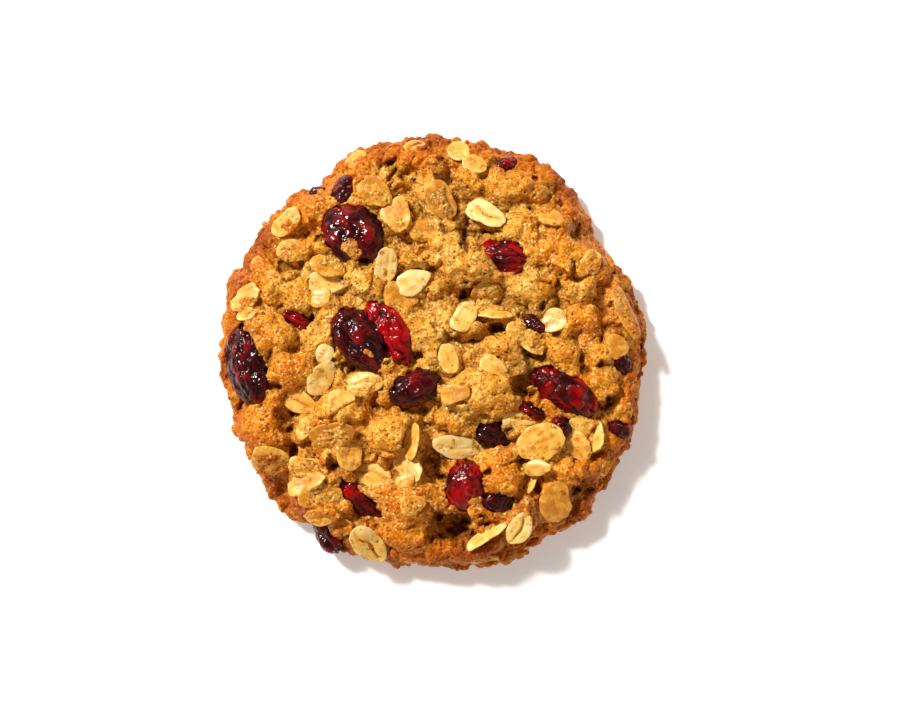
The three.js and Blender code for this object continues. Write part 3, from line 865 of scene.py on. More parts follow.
def clear_of_toppings(x, y, berries):
    """Whether a place of the plan view is free of clean flakes and berries."""
    if any(oval_distance(x, y, flake) < FLAKE_CLEARANCE for flake in FLAKES):
        return False
    return not any(np.hypot(x - b[0], y - b[1]) < b[2] for b in berries)


def strewn_place(crust, random, berries, side_share, side_heights):
    """A drawn place and normal, or None where it is taken, and whether it is on the side wall."""
    angle = random.uniform(0, 2 * math.pi)
    if random.uniform() < side_share:
        return crust.from_side(angle, random.uniform(*side_heights)), True
    reach = TOP_REACH * math.sqrt(random.uniform())
    x, y = reach * math.cos(angle), reach * math.sin(angle)
    if not clear_of_toppings(x, y, berries):
        return None, False
    return crust.under(x, y), False


def flake_frame(crust, flake, earlier):
    """Centre and axes of a clean flake, which lies on any earlier flake that it overlaps."""
    x, y, _, width, turn, tilt = flake[:6]
    spread = FLAKE_FEELER * width
    feelers = itertools.product((-spread, 0, spread), repeat=2)
    hits = [crust.under(x + dx, y + dy) for dx, dy in feelers]
    normal = np.mean([hit[1] for hit in hits if hit], axis=0)
    if abs(tilt) >= STEEP_TILT:
        side = axes_of(np.array([0.0, 0.0, 1.0]), turn)[1]
        normal = np.array([0, 0, math.cos(math.radians(tilt))]) - side * math.sin(math.radians(tilt))
    normal /= np.linalg.norm(normal)
    sunk = 0.5 * CAD_FLAKE_THICKNESS / max(normal[2], FLAKE_LEAST_UP)
    centre = crust.under(x, y)[0] - np.array([0, 0, sunk])
    centre = centre + normal * (0.5 * (CAD_FLAKE_THICKNESS - FLAKE_THICKNESS))
    stack = sum(oval_distance(x, y, other) < FLAKE_OVERLAP for other in earlier)
    centre = centre + normal * (stack * FLAKE_THICKNESS)
    return centre, axes_of(normal, turn)


def coated_frames(crust):
    """Centre, axes, length and width of each flake that the dough coats."""
    frames = []
    for x, y, length, width, turn in COATED_FLAKES:
        hits = [crust.under(x + dx, y + dy) for dx, dy in COATED_FEELERS]
        hits = [hit for hit in hits if hit]
        if hits:
            normal = np.mean([hit[1] for hit in hits], axis=0)
            normal /= np.linalg.norm(normal)
            centre = np.mean([hit[0] for hit in hits], axis=0)
            frames.append((centre, axes_of(normal, turn), length, width))
    return frames


# Shells that the dough is joined from

def plate(shell, centre, axes, length, width):
    return centre + shell[0] @ axes, shell[1], (centre, axes, length, width)


def coated_plates(frames, random):
    """Caps of dough on the coated flakes, which leave the flake's lit edge bare."""
    away = np.array([*KEY_TOWARDS[:2], 0.0]) / math.hypot(*KEY_TOWARDS[:2])
    plates = []
    for centre, axes, length, width in frames:
        length, width = CAP_SHARE * length, CAP_SHARE * width
        shell = flake_shell(length, width, PLATE_THICKNESS, random, CAP_RINGS, uneven=CAP_UNEVEN)
        centre = centre - PLATE_SINK * axes[2] + CAP_SHIFT * width * away
        plates.append(plate(shell, centre, axes, length, width))
    return plates


def strewn_flakes(crust, random, berries):
    """Small coated flakes, sunk in the top and the side wall."""
    plates = []
    while len(plates) < STREWN_FLAKES:
        hit, on_side = strewn_place(crust, random, berries, SIDE_SHARE, SIDE_HEIGHTS)
        length, width = random.uniform(*STREWN_LENGTH), random.uniform(*STREWN_WIDTH)
        thickness, turn = random.uniform(*STREWN_THICKNESS), random.uniform(0, 360)
        lean = np.radians(random.normal(0, SIDE_TILT if on_side else STREWN_TILT, 2))
        if hit is None:
            continue
        normal = hit[1] + np.array([math.tan(lean[0]), math.tan(lean[1]), 0])
        normal /= np.linalg.norm(normal)
        shell = flake_shell(length, width, thickness, random, STREWN_RINGS, uneven=CAP_UNEVEN)
        centre = hit[0] - (SIDE_SINK if on_side else STREWN_SINK) * normal
        plates.append(plate(shell, centre, axes_of(normal, turn), length, width))
    return plates


def strewn_crumbs(crust, random, berries):
    """Small lumps that roughen the crust."""
    shells = []
    while len(shells) < STREWN_CRUMBS:
        hit, _ = strewn_place(crust, random, berries, SIDE_CRUMB_SHARE, SIDE_CRUMB_HEIGHTS)
        points, triangles = blob(random, random.uniform(*CRUMB_RADIUS))
        turn = random.uniform(0, 360)
        if hit is not None:
            shells.append((hit[0] + points @ axes_of(hit[1], turn), triangles))
    return shells


def named_lumps(crust, skins, random):
    """The named lumps, on the crust or on the berry that lies there."""
    trees = [crust.tree] + [tree for _, tree in skins]
    shells = []
    for x, y, radius in LUMPS:
        hits = [tree.ray_cast(Vector((x, y, RAY_HEIGHT)), DOWN)[0] for tree in trees]
        top = max((hit.z for hit in hits if hit), default=RIM_LUMP_HEIGHT)
        points, triangles = blob(random, radius)
        shells.append((points + np.array([x, y, top - LUMP_SINK * radius]), triangles))
    return shells


def edge_lumps(crust, skins, random):
    """Lumps of dough that creep over the edges of the larger berries."""
    shells = []
    for skin, _ in skins:
        middle = skin.mean(0)
        flat = skin[:, :2] - middle[:2]
        bearing = np.arctan2(flat[:, 1], flat[:, 0])
        reach = reach_of(flat)
        if reach.max() < EDGE_LUMP_BERRY:
            continue
        count = int(2 * math.pi * reach.max() / EDGE_LUMP_SPACING)
        for angle in np.arange(count) * 2 * math.pi / count:
            angle = angle + random.uniform(-EDGE_LUMP_JITTER, EDGE_LUMP_JITTER)
            radius, share = random.uniform(*EDGE_LUMP_RADIUS), random.uniform()
            points, triangles = blob(random, radius)
            near = np.abs((bearing - angle + math.pi) % (2 * math.pi) - math.pi) < EDGE_LUMP_ARC
            if share > EDGE_LUMP_SHARE or not near.any():
                continue
            out = reach[near].max() + EDGE_LUMP_OUT * radius
            hit = crust.under(middle[0] + out * math.cos(angle), middle[1] + out * math.sin(angle))
            if hit is not None and hit[0][2] > MAP_LOWEST:
                shells.append((points + hit[0] - np.array([0, 0, EDGE_LUMP_SINK * radius]), triangles))
    return shells


# Dough

def level_with_dough(points, rise):
    """Gives each oat flake the rise of the dough around it, so that it lies in the crust."""
    level = rise.copy()
    top = points[:, 2] > MAP_LOWEST
    for flake in FLAKES + COATED_FLAKES:
        distance = oval_distance(points[:, 0], points[:, 1], flake)
        ring = top & (distance > RING_START) & (distance < RING_END)
        if ring.any():
            share = top * (1 - eased(1.0, RING_START, distance))
            level += share * (rise[ring].mean() - level)
    return level


def named_ovals(points, ovals, span, ragged=0.0):
    """Height or depth of the named ovals at each place of the plan view, which ends over a span."""
    most = np.zeros(len(points))
    for oval in ovals:
        distance = oval_distance(points[:, 0], points[:, 1], oval) + ragged
        most = np.maximum(most, oval[5] * (1 - over(span, distance)))
    return most


def cliffed(points, triangles, edges):
    """Steepens the crags: lumps become slabs with cliffs, and valleys sink."""
    broad = smoothed(points, edges, BROAD_SMOOTHING)
    up = normals_of(broad, triangles)
    rise = level_with_dough(points, ((points - broad) * up).sum(1))
    ragged = waves(points, "cliff") + waves(points, "cliff_fine")
    lift = CLIFF_HEIGHT * np.tanh(CLIFF_STEEPNESS * (rise + CLIFF_RAGGED * ragged))
    lift -= CLIFF_FLATTENING * np.maximum(rise - CLIFF_TOP, 0)
    raised = named_ovals(points, MOUNDS, "mound_edge")
    lift = (lift + raised) * over("cliff_facing", up[:, 2])
    return points + up * lift[:, None], rise + raised


class RiseMap:
    """How far the crust stands over its surroundings, as a map of the plan view."""

    def __init__(self, points, rise):
        top = points[:, 2] > MAP_LOWEST
        cells = self.cells(points[top])
        size = 2 * MAP_HALF + 1
        count = np.bincount(cells, minlength=size * size)
        self.values = np.bincount(cells, rise[top], size * size) / np.maximum(count, 1)

    def cells(self, points):
        """Number of the map's cell that each point lies in."""
        spot = np.clip(np.round(points[:, :2] / MAP_CELL), -MAP_HALF, MAP_HALF).astype(int) + MAP_HALF
        return spot[:, 0] * (2 * MAP_HALF + 1) + spot[:, 1]

    def at(self, points):
        return self.values[self.cells(points)]


def dough_form():
    """The CAD dough without its facets and with steeper crags, and the map of its rise."""
    points, triangles, edges = united([cad_arrays("dough")], BASE_VOXEL)
    points, rise = cliffed(smoothed(points, edges, BASE_SMOOTHING), triangles, edges)
    return points, triangles, RiseMap(points, rise)


def under_steep(spots, flake, centre, ragged):
    """Dough pressed down around the foot of a flake that stands on its edge."""
    size = (flake[2] + STEEP_LONGER, STEEP_NARROWER * flake[3] + STEEP_WIDER)
    reach = oval_distance(spots[:, 0], spots[:, 1], (*flake[:2], *size, flake[4]))
    inside = 1 - over("steep_hole", reach + ragged)
    target = np.minimum(spots[:, 2], centre[2] - STEEP_GROUND)
    spots[:, 2] += inside * (target - spots[:, 2])
    return spots


def under_flat(spots, flake, centre, axes, ragged):
    """Dough pressed down below a flake that lies in the crust."""
    local = (spots - centre) @ axes.T
    inside = 1 - over("flake_hole", local_distance(local, flake[2], flake[3]) + ragged)
    inside *= local[:, 2] > -HOLE_REACH
    target = np.minimum(local[:, 2], -HOLE_DEPTH)
    local[:, 2] += inside * (target - local[:, 2])
    return centre + local @ axes


def under_flakes(points, frames):
    """Presses the dough down below each clean flake, with some dough left over its edge."""
    for flake, (centre, axes) in zip(FLAKES, frames):
        near = np.flatnonzero(np.linalg.norm(points - centre, axis=1) < flake[2])
        spots = points[near]
        cover = (flake[8] + FLAKE_COVER) * (COVER_LEVEL + waves(spots, "cover"))
        ragged = waves(spots, "cover_fine") + cover
        if abs(flake[5]) >= STEEP_TILT:
            points[near] = under_steep(spots, flake, centre, ragged)
        else:
            points[near] = under_flat(spots, flake, centre, axes, ragged)
    return points


def pit_depth(points):
    """Depth of the named pits at each place of the plan view."""
    flat = points * np.array([1.0, 1.0, 0.0])
    ragged = waves(flat, "pit") + waves(flat, "pit_fine")
    return named_ovals(points, PITS, "pit_edge", ragged)


def pitted(points, normals):
    moved = points.copy()
    moved[:, 2] -= pit_depth(points) * over("pit_facing", normals[:, 2])
    return moved


def near_plates(points, plates, share):
    """For each plate, the vertices near it, their places on its axes and their distance in it."""
    for _, _, (centre, axes, length, width) in plates:
        near = np.flatnonzero(np.linalg.norm(points - centre, axis=1) < share * length)
        local = (points[near] - centre) @ axes.T
        yield near, local, local_distance(local, length, width)


def grooved(points, normals, plates):
    """Sinks the dough in a narrow ragged line around each coated flake."""
    drop = np.zeros(len(points))
    ragged = waves(points, "groove")
    for near, local, distance in near_plates(points, plates, GROOVE_SEARCH):
        reach = distance + ragged[near]
        line = over("groove_in", reach) * (1 - over("groove_out", reach)) * (local[:, 2] < GROOVE_TOP)
        drop[near] = np.maximum(drop[near], line)
    depth = GROOVE_DEPTH * drop * patches(points, "groove_gaps") * over("groove_height", points[:, 2])
    return points - normals * depth[:, None]


def plate_share(points, plates, rim):
    """How much each vertex belongs to a coated flake, or to its rim when rim is above zero."""
    share = np.zeros(len(points))
    for near, local, distance in near_plates(points, plates, PLATE_SEARCH):
        inside = (1 - over("plate_edge", distance)) * (np.abs(local[:, 2]) < PLATE_HEIGHT)
        share[near] = np.maximum(share[near], inside * eased(rim - RIM_WIDTH, rim, distance))
    return share


def near_skins(points, skins):
    """Each vertex near a berry's skin, with the nearest place of the skin and the gap to it."""
    for skin, tree in skins:
        low, high = skin.min(0) - HUG_REACH, skin.max(0) + HUG_REACH
        for index in np.flatnonzero(np.all((points > low) & (points < high), axis=1)):
            spot, _, _, gap = tree.find_nearest(Vector(points[index]), HUG_REACH)
            if spot is not None:
                yield index, np.array(spot), gap


def hugging(points, skins):
    """Draws the edges of the pockets on to the berries."""
    ragged = HUG_SHARE + waves(points, "hug")
    for index, spot, gap in near_skins(points, skins):
        share = ragged[index] * min(1.0, HUG_STEEPNESS * (1 - gap / HUG_REACH))
        points[index] += share * (spot - points[index])
        points[index, 2] += HUG_LIFT * share
    return points


def clear_of_skins(points, skins):
    """1 away from the berries, and 0 where the dough touches one."""
    clear = np.ones(len(points))
    for index, _, gap in near_skins(points, skins):
        clear[index] = min(clear[index], gap / HUG_REACH)
    return clear


def crumbed(points, normals, slab):
    """Granular crumb along the normals: grains, coarse in the valleys, and scattered pores."""
    salts = range(CRUMB_STIR_SALT, CRUMB_STIR_SALT + 3)
    stir = CRUMB_STIR * np.stack([wavy(points / CRUMB_STIR_WAVE, salt) for salt in salts], 1)
    slab = slab * (1 - CRUMB_RIM_SHARE * over("crumb_rim", reach_of(points)))
    height = np.zeros(len(points))
    for size, salt, stirred, valley, less, roundness, level in CRUMB_GRAINS:
        distance, _ = grainy((points + stirred * stir) / size, salt)
        height += (valley - less * slab) * (dome(distance, roundness) - level)
    height += waves(points, "swell")
    pore, number = grainy(points / PORE_SPACING, PORE_SALT)
    height -= PORE_DEPTH * (1 - over("pore_edge", pore)) * (number < PORE_SHARE)
    share = CRUMB_AT_BASE + (1 - CRUMB_AT_BASE) * over("above_base", points[:, 2])
    return points + normals * (height * share)[:, None]


def spread_rim(points):
    """Lets the rim run out a little further on the side that it slumped to, but not over the berries."""
    reach = reach_of(points)
    bearing = np.degrees(np.arctan2(points[:, 1], points[:, 0]))
    turned = (bearing - SLUMP_BEARING + 180) % 360 - 180
    grow = SLUMP * (1 - over("slump_arc", np.abs(turned))) * over("slump_reach", reach)
    for x, y, radius in berry_discs():
        grow *= eased(radius, radius + SLUMP_BERRY_GAP, np.hypot(points[:, 0] - x, points[:, 1] - y))
    points[:, :2] *= (1 + grow / np.maximum(reach, SLUMP_LEAST_REACH))[:, None]
    return points


def dough_surface(shells, plates, frames, rise_map, skins):
    """One skin around the dough's shells, with its holes, pits, grooves and crumb."""
    points, triangles, edges = united(shells, CRUMB_VOXEL)
    points = smoothed(points, edges, CRUMB_SMOOTHING)
    points = under_flakes(points, frames)
    points = pitted(points, normals_of(points, triangles))
    points = grooved(points, normals_of(points, triangles), plates)
    points = hugging(points, skins)
    slab = over("slab", smoothed(rise_map.at(points), edges, SLAB_SMOOTHING))
    slab = np.maximum(slab, smoothed(plate_share(points, plates, 0.0), edges, PLATE_SMOOTHING))
    slab *= 1 - over("slab_end", reach_of(points))
    points = spread_rim(crumbed(points, normals_of(points, triangles), slab))
    points[:, 2] = np.maximum(points[:, 2], 0.0)
    return modified(points, triangles, "DECIMATE", ratio=min(1.0, DOUGH_TRIANGLES / len(triangles)))


def dough_values(points, triangles, edges, plates, named, rise_map, skins):
    """What the dough's material reads at each vertex."""
    outward = normals_of(points, triangles)
    hollow = ((smoothed(points, edges, HOLLOW_SMOOTHING) - points) * outward).sum(1)
    clear = clear_of_skins(points, skins)
    bare_edge = plate_share(points, plates, RIM_START) * patches(points, "bare_edge")
    thin_coat = COAT_SHARE * plate_share(points, named, 0.0) * patches(points, "thin_coat")
    return {
        # painted shade in the hollows, left out where the dough meets a berry
        "crevice_shade": smoothed(np.clip(hollow / HOLLOW_DEPTH, -1, 1), edges, 1) * clear,
        "stain": (1 - clear) * patches(points, "stain"),
        "browning": over("browning", reach_of(points - np.array(BROWNING_CENTRE))),
        "pale": smoothed(np.maximum(bare_edge, thin_coat), edges, 1),
        "slab": smoothed(over("slab", rise_map.at(points)), edges, SLAB_SMOOTHING),
        # painted shade in the pits, by their depth
        "pit": smoothed(over("pit_shade", pit_depth(points)), edges, PLATE_SMOOTHING),
        "rim": over("rim", reach_of(points) + waves(points, "rim")),
        "base": 1 - over("base", points[:, 2]),
    }


def build_dough(form, rise_map, crust, frames, coated, skins):
    """The dough's crumb, joined from its form and everything that is baked into it."""
    random = np.random.default_rng(SEED)
    berries = berry_discs()
    plates = coated_plates(coated, random) + strewn_flakes(crust, random, berries)
    lumps = named_lumps(crust, skins, random) + edge_lumps(crust, skins, random)
    shells = [form, *plates, *strewn_crumbs(crust, random, berries), *lumps]
    points, triangles, edges = dough_surface(shells, plates, frames, rise_map, skins)
    item = piece("dough_crumb", points, triangles, dough_material(), "baked_dough", "dough")
    named = plates[:len(coated)]
    for name, values in dough_values(points, triangles, edges, plates, named, rise_map, skins).items():
        attribute(item, name, values)


# Oat flakes

def flake_shells(frames, coated, random):
    """Shell, centre, axes and tone of each clean flake and each coated one."""
    shells = []
    for flake, (centre, axes) in zip(FLAKES, frames):
        size = (FLAKE_GROWTH * flake[2], FLAKE_GROWTH * flake[3], FLAKE_THICKNESS)
        crease = max(flake[6], random.uniform(0.0, FLAKE_CREASE))
        shells.append((flake_shell(*size, random, FLAKE_RINGS, crease), centre, axes, flake[7]))
    for centre, axes, length, width in coated:
        crease = random.uniform(0.0, COATED_CREASE)
        shell = flake_shell(length, width, FLAKE_THICKNESS, random, COATED_RINGS, crease)
        tone = COATED_TONE + random.uniform(-COATED_TONE_SPREAD, COATED_TONE_SPREAD)
        shells.append((shell, centre + COATED_LIFT * axes[2], axes, tone))
    return shells


def flake_values(number, shell, tone):
    points, _, edge, line = shell
    return {
        "tone": np.full(len(points), tone),
        "edge": edge,
        "crease": line,
        "along": points[:, 0] + FLAKE_APART * number,
        "across": points[:, 1],
    }


def build_flakes(frames, coated):
    shells = flake_shells(frames, coated, np.random.default_rng(FLAKE_SEED))
    points, triangles = joined([(centre + shell[0] @ axes, shell[1]) for shell, centre, axes, _ in shells])
    item = piece("oat_flakes", spread_rim(points), triangles, flake_material(), "oat_flake")
    values = [flake_values(number, shell, tone) for number, (shell, _, _, tone) in enumerate(shells)]
    for name in values[0]:
        attribute(item, name, np.concatenate([each[name] for each in values]))


# Cranberries

def berry_body(name):
    """The CAD berry without its facets: points, triangles, and places on its axes from its middle."""
    cad_points, cad_triangles = cad_arrays(name)
    levels = {"levels": BERRY_SUBDIVISIONS, "render_levels": BERRY_SUBDIVISIONS}
    points, triangles, _ = modified(cad_points, cad_triangles, "SUBSURF", **levels)
    middle = cad_points.mean(0)
    _, _, axes = np.linalg.svd(cad_points - middle, full_matrices=False)
    local = (points - middle) @ axes.T
    wanted = (cad_points - middle) @ axes.T
    local *= (np.ptp(wanted, axis=0) + 2 * BERRY_GROWTH) / np.ptp(local, axis=0)
    return middle + local @ axes, triangles, local


def berry_folds(local, drift, size, salt):
    """Depth from 0 to 1 of the long folds that run from end to end."""
    around = np.arctan2(local[:, 2], local[:, 1])
    phase = BERRY_FOLDS * around / 2 + FOLD_DRIFT * drift[:, 0]
    phase += FOLD_TWIST * local[:, 0] / np.ptp(local[:, 0])
    ridge = np.abs(np.sin(phase + FOLD_WANDER * wavy(local / (FOLD_WAVE * size), salt + 4)))
    off_axis = over("off_axis", np.hypot(local[:, 1], local[:, 2]) / np.ptp(local[:, 1]))
    return (1 - ridge) ** 2 * off_axis * over("fold_gaps", drift[:, 1])


def berry_relief(local, salt):
    """Height of a berry's skin at each vertex, with the depth in folds and wrinkles and the dents."""
    size = min(1.0, np.ptp(local[:, 0]) / LONG_BERRY)
    drift = np.stack([wavy(local / (DRIFT_WAVE * size), salt + k) for k in range(3)], 1)
    loose = local + drift
    deep = berry_folds(local, drift, size, salt)
    height = -FOLD_DEPTH * deep
    for wave, step, width, depth, share in WRINKLES:
        line = np.exp(-((wavy(loose / np.array(wave) / size, salt + step) / width) ** 2))
        height -= depth * line
        deep += share * line
    dent = wavy(local / (DENT_WAVE * size), salt + 6)
    knob = dome(grainy(loose / (KNOB_SIZE * size), salt + 9)[0], KNOB_ROUNDNESS)
    height += KNOB_HEIGHT * (knob - KNOB_LEVEL)
    height += DENT_HEIGHT * dent
    height += SWELL_HEIGHT * wavy(local / (SWELL_WAVE * size), salt + 8)
    return size * np.minimum(height, BERRY_HIGHEST), np.clip(deep, 0, 1), dent


def build_berry(name, slot, material, salt):
    """A berry's wrinkled skin: its points, and a tree that finds the nearest place of it."""
    points, triangles, local = berry_body(name)
    height, deep, dent = berry_relief(local, salt)
    points = points + normals_of(points, triangles) * height[:, None]
    points[:, 2] = np.maximum(points[:, 2], BERRY_LOWEST)
    item = piece(name + "_skin", points, triangles, material, slot, name)
    # painted shade in the folds and wrinkles
    attribute(item, "fold_shade", deep)
    attribute(item, "dent", dent)
    attribute(item, "shade", np.full(len(points), BERRY_SHADES.get(name, 0.0)))
    return points, BVHTree.FromPolygons(points.tolist(), triangles.tolist())


def build_berries():
    stops = {"cranberry_red": RED_STOPS, "cranberry_dark": DARK_STOPS}
    materials = {slot: berry_material(slot, stops[slot]) for slot in stops}
    slots = {part["node"]: part["material_slot"] for part in frame["record"]["subparts"] if "node" in part}
    skins = []
    for number, name in enumerate(sorted(berry_names())):
        slot = slots[name]
        skins.append(build_berry(name, slot, materials[slot], BERRY_SALT + BERRY_SALT_STEP * number))
    return skins


# Materials

def set_stops(ramp, stops):
    elements = ramp.color_ramp.elements
    while len(elements) < len(stops):
        elements.new(0.5)
    for element, (at, colour) in zip(elements, stops):
        element.position = at
        element.color = (*colour, 1.0)


class Shader:
    """Short ways to build a material's nodes, with scales in waves or cells to a metre."""

    def __init__(self, name):
        self.material = bpy.data.materials.new(name)
        self.material.use_nodes = True
        self.nodes = self.material.node_tree.nodes
        self.links = self.material.node_tree.links
        self.surface = self.nodes["Principled BSDF"]

    def put(self, socket, value):
        if isinstance(value, bpy.types.NodeSocket):
            self.links.new(value, socket)
        elif socket.type == "RGBA":
            socket.default_value = (*value, 1.0)
        else:
            socket.default_value = value

    def node(self, kind, inputs, **settings):
        made = self.nodes.new(kind)
        for key, value in settings.items():
            setattr(made, key, value)
        for key, value in inputs.items():
            self.put(made.inputs[key], value)
        return made

    def attribute(self, name):
        return self.node("ShaderNodeAttribute", {}, attribute_name=name).outputs["Fac"]

    def place(self):
        return self.node("ShaderNodeTexCoord", {}).outputs["Object"]

    def warped(self, reach, scale):
        """Places that are pushed about a little, so that cells come out uneven."""
        push = self.node("ShaderNodeTexNoise", {"Vector": self.place(), "Scale": scale, "Detail": 2.0})
        inputs = {0: push.outputs["Color"], 1: (reach, reach, reach), 2: self.place()}
        return self.node("ShaderNodeVectorMath", inputs, operation="MULTIPLY_ADD").outputs[0]

    def noise(self, scale, detail=2.0, roughness=0.5, vector=None):
        inputs = {"Vector": vector or self.place(), "Scale": scale}
        inputs.update({"Detail": detail, "Roughness": roughness})
        return self.node("ShaderNodeTexNoise", inputs).outputs["Fac"]

    def grains(self, scale, vector):
        """Distance from the middle of rounded grains."""
        inputs = {"Vector": vector, "Scale": scale, "Smoothness": 0.5}
        return self.node("ShaderNodeTexVoronoi", inputs, feature="SMOOTH_F1").outputs["Distance"]

    def cells(self, scale, vector, channel=0):
        """Distance from the middle of uneven cells, and a number from 0 to 1 for each cell."""
        made = self.node("ShaderNodeTexVoronoi", {"Vector": vector, "Scale": scale}).outputs
        number = self.node("ShaderNodeSeparateColor", {0: made["Color"]}).outputs[channel]
        return made["Distance"], number

    def dots(self, cells, edge, share):
        """Round dots in the middle of some of the cells."""
        distance, number = cells
        return self.times(self.spread(distance, *edge, 1.0, 0.0), self.spread(number, *share))

    def math(self, operation, a, b):
        return self.node("ShaderNodeMath", {0: a, 1: b}, operation=operation).outputs[0]

    def times(self, a, b):
        return self.math("MULTIPLY", a, b)

    def plus(self, total, *others):
        for other in others:
            total = self.math("ADD", total, other)
        return total

    def minus(self, total, *others):
        for other in others:
            total = self.math("SUBTRACT", total, other)
        return total

    def spread(self, value, low, high, to_low=0.0, to_high=1.0):
        """A value from low to high, spread over another range and kept in it."""
        inputs = {"Value": value, 1: low, 2: high, 3: to_low, 4: to_high}
        return self.node("ShaderNodeMapRange", inputs, clamp=True).outputs[0]

    def ramp(self, value, stops):
        made = self.node("ShaderNodeValToRGB", {"Fac": value})
        set_stops(made, stops)
        return made.outputs["Color"]

    def mix(self, colour, share, layer, blend="MIX"):
        settings = {"data_type": "RGBA", "blend_type": blend, "clamp_factor": True}
        return self.node("ShaderNodeMix", {0: share, 6: colour, 7: layer}, **settings).outputs[2]

    def bump(self, height, strength, distance):
        inputs = {"Height": height, "Strength": strength, "Distance": distance}
        return self.node("ShaderNodeBump", inputs).outputs["Normal"]

    def finish(self, **inputs):
        for key, value in inputs.items():
            self.put(self.surface.inputs[key.replace("_", " ")], value)
        return self.material


def dough_toast(look, fine):
    """How toasted the dough is: in patches, from lump to lump, at the rim and away from the middle."""
    _, lump = look.cells(105.0, look.warped(0.004, 180.0))
    return look.plus(
        look.times(look.noise(150.0), 0.95),
        look.times(fine, 0.3),
        look.spread(lump, 0.0, 1.0, -0.1, 0.1),
        look.times(look.attribute("rim"), 0.17),
        look.spread(look.attribute("browning"), 0.0, 1.0, -0.15, 0.12),
    )


def dough_noise(look):
    """Specks, grains, pores and glints: painted shade in the pores, painted highlights in the pale specks
    and glints, fewer bright ones at the rim.
    """
    rim = look.attribute("rim")
    speck = look.noise(2100.0, detail=0.6)
    glint = look.dots(look.cells(1150.0, look.place(), channel=1), (0.15, 0.3), (0.5, 0.55))
    uneven = look.warped(0.0006, 800.0)
    return {
        "fine": look.noise(700.0),
        "speck": speck,
        "painted_highlight_speck": look.times(look.spread(speck, 0.56, 0.68), look.spread(rim, 0.0, 1.0, 0.4, 0.2)),
        "glint": look.times(glint, look.spread(rim, 0.0, 0.8, 0.85, 0.2)),
        "pebble": look.grains(640.0, look.warped(0.001, 500.0)),
        "grain": look.grains(1350.0, uneven),
        "pore": look.dots(look.cells(980.0, uneven), (0.13, 0.27), (0.42, 0.47)),
    }


def dough_colour(look, noise):
    """Toasted colour under the layers of the table."""
    colour = look.ramp(dough_toast(look, noise["fine"]), DOUGH_STOPS)
    for name, span, layer, *blend in DOUGH_LAYERS:
        value = noise[name] if name in noise else look.attribute(name)
        colour = look.mix(colour, look.spread(value, *span), layer, *blend)
    return colour


def dough_relief(look, noise):
    """Height of the fine grains, which are rougher in the valleys, less that of pores and gaps."""
    grain = look.times(noise["grain"], look.spread(look.attribute("slab"), 0.0, 0.8, -0.34, -0.16))
    grain = look.plus(grain, look.times(noise["speck"], 0.22))
    return look.minus(grain, look.times(noise["pore"], 0.15), look.times(noise["pebble"], 0.4))


def dough_material():
    """Baked dough: grainy and porous, a little glossy and duller at the rim."""
    look = Shader("baked_dough")
    noise = dough_noise(look)
    dull = look.times(look.attribute("rim"), 0.3)
    return look.finish(
        Base_Color=dough_colour(look, noise),
        Roughness=look.plus(look.spread(noise["fine"], 0.35, 0.65, 0.18, 0.31), dull),
        Specular_IOR_Level=0.3,
        Specular_Tint=(1.0, 0.72, 0.36),
        Subsurface_Weight=0.7,
        Subsurface_Radius=(1.0, 0.45, 0.12),
        Subsurface_Scale=0.0009,
        Normal=look.bump(dough_relief(look, noise), strength=1.0, distance=0.001),
    )


def flake_material():
    """Oat flake: streaked along its length, pale at the edge, freckled, and coated in patches."""
    look = Shader("oat_flake")
    along = {"X": look.times(look.attribute("along"), 0.3), "Y": look.times(look.attribute("across"), 1.6)}
    streak = look.noise(1.0, 3.0, 0.6, look.node("ShaderNodeCombineXYZ", along).outputs[0])
    tone = look.plus(
        look.attribute("tone"),
        look.spread(look.noise(520.0, 3.0, 0.55), 0.3, 0.7, -0.3, 0.3),
        look.times(look.attribute("crease"), 0.3),
        look.spread(streak, 0.3, 0.7, -0.08, 0.08),
    )
    tone = look.minus(tone, look.spread(look.attribute("edge"), 0.6, 1.0, 0.0, 0.2))
    crumbs = look.plus(look.noise(700.0, 4.0, 0.65), look.times(look.attribute("tone"), 0.16))
    coat = look.spread(crumbs, 0.62, 0.68, 0.0, 0.85)
    freckle = look.dots(look.cells(1050.0, look.warped(0.0006, 800.0)), (0.1, 0.22), (0.6, 0.65))
    colour = look.mix(look.ramp(tone, FLAKE_STOPS), coat, FLAKE_COAT_COLOUR)
    return look.finish(
        Base_Color=look.mix(colour, look.times(freckle, 0.8), FRECKLE_COLOUR),
        Roughness=0.36,
        Specular_IOR_Level=0.5,
        Subsurface_Weight=0.3,
        Subsurface_Radius=(1.0, 0.7, 0.3),
        Subsurface_Scale=0.0004,
        Normal=look.bump(look.plus(streak, look.times(coat, 1.2)), strength=0.35, distance=0.00015),
    )


def berry_material(name, stops):
    """Glossy wrinkled skin, red in the thin parts and on raised dents, with painted shade darkening its
    folds and wrinkles.
    """
    look = Shader(name)
    depth = look.plus(look.noise(260.0, 3.0, 0.6), look.times(look.attribute("fold_shade"), 0.3))
    depth = look.plus(look.minus(depth, look.times(look.attribute("dent"), 0.12)), look.attribute("shade"))
    return look.finish(
        Base_Color=look.ramp(depth, stops),
        Roughness=0.11,
        Specular_IOR_Level=0.42,
        Specular_Tint=(1.0, 0.86, 0.88),
        Normal=look.bump(look.noise(700.0), strength=0.5, distance=0.0005),
    )


def floor_material():
    """A white floor that glows a little, as under a lit studio."""
    return Shader("white_floor").finish(
        Base_Color=FLOOR_COLOUR,
        Roughness=0.9,
        Specular_IOR_Level=0.0,
        Emission_Color=FLOOR_GLOW,
        Emission_Strength=FLOOR_GLOW_STRENGTH,
    )


# Stage

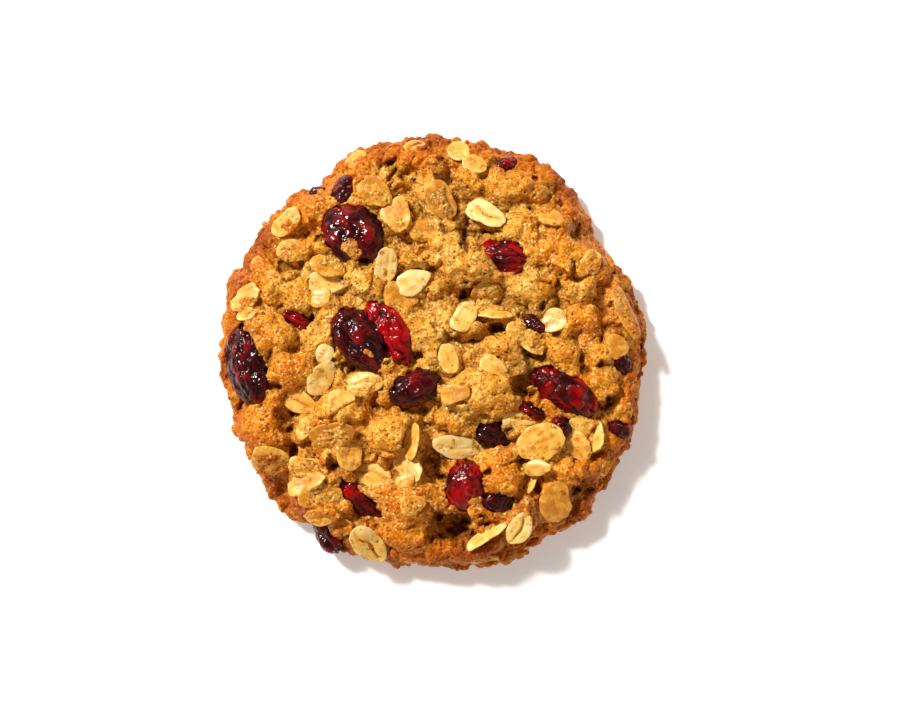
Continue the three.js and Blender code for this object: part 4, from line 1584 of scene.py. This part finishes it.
def build_floor():
    bpy.ops.mesh.primitive_plane_add(size=FLOOR_SIZE * MM, location=(0, 0, 0))
    floor = bpy.context.object
    floor.name = "floor"
    floor.data.materials.append(floor_material())


def build_lamp(name, strength, angle):
    """A lamp from the key light's direction that looks as wide as an angle."""
    lamp = bpy.data.lights.new(name, "SUN")
    lamp.energy = strength
    lamp.angle = angle
    lamp.color = KEY_COLOUR
    item = bpy.data.objects.new(name, lamp)
    item.rotation_mode = "QUATERNION"
    item.rotation_quaternion = Vector(KEY_TOWARDS).to_track_quat("-Z", "Y")
    bpy.context.scene.collection.objects.link(item)


def build_light():
    for name, strength, angle in LAMPS:
        build_lamp(name, strength, angle)
    world = bpy.data.worlds.new("studio")
    bpy.context.scene.world = world
    world.use_nodes = True
    nodes, links = world.node_tree.nodes, world.node_tree.links
    background = nodes["Background"]
    background.inputs["Strength"].default_value = FILL_STRENGTH
    direction = nodes.new("ShaderNodeTexCoord")
    split = nodes.new("ShaderNodeSeparateXYZ")
    ramp = nodes.new("ShaderNodeValToRGB")
    links.new(direction.outputs["Generated"], split.inputs[0])
    links.new(split.outputs["Z"], ramp.inputs["Fac"])
    links.new(ramp.outputs["Color"], background.inputs["Color"])
    set_stops(ramp, FILL_STOPS)


def build_camera():
    lens = bpy.data.cameras.new("camera")
    lens.lens = LENS
    lens.sensor_width = SENSOR
    lens.clip_start = CLIP_START * MM
    camera = bpy.data.objects.new("camera", lens)
    x, y, z = FRAME_CENTRE
    camera.location = Vector((x, y, z + FRAME_WIDTH * LENS / SENSOR)) * MM
    bpy.context.scene.collection.objects.link(camera)
    bpy.context.scene.camera = camera
    bpy.context.scene.view_settings.view_transform = "Standard"


def build():
    points, triangles, rise_map = dough_form()
    crust = Crust(points, triangles)
    frames = [flake_frame(crust, flake, FLAKES[:index]) for index, flake in enumerate(FLAKES)]
    coated = coated_frames(crust)
    skins = build_berries()
    build_dough((points, triangles), rise_map, crust, frames, coated, skins)
    build_flakes(frames, coated)
    build_floor()
    build_light()
    build_camera()


build()
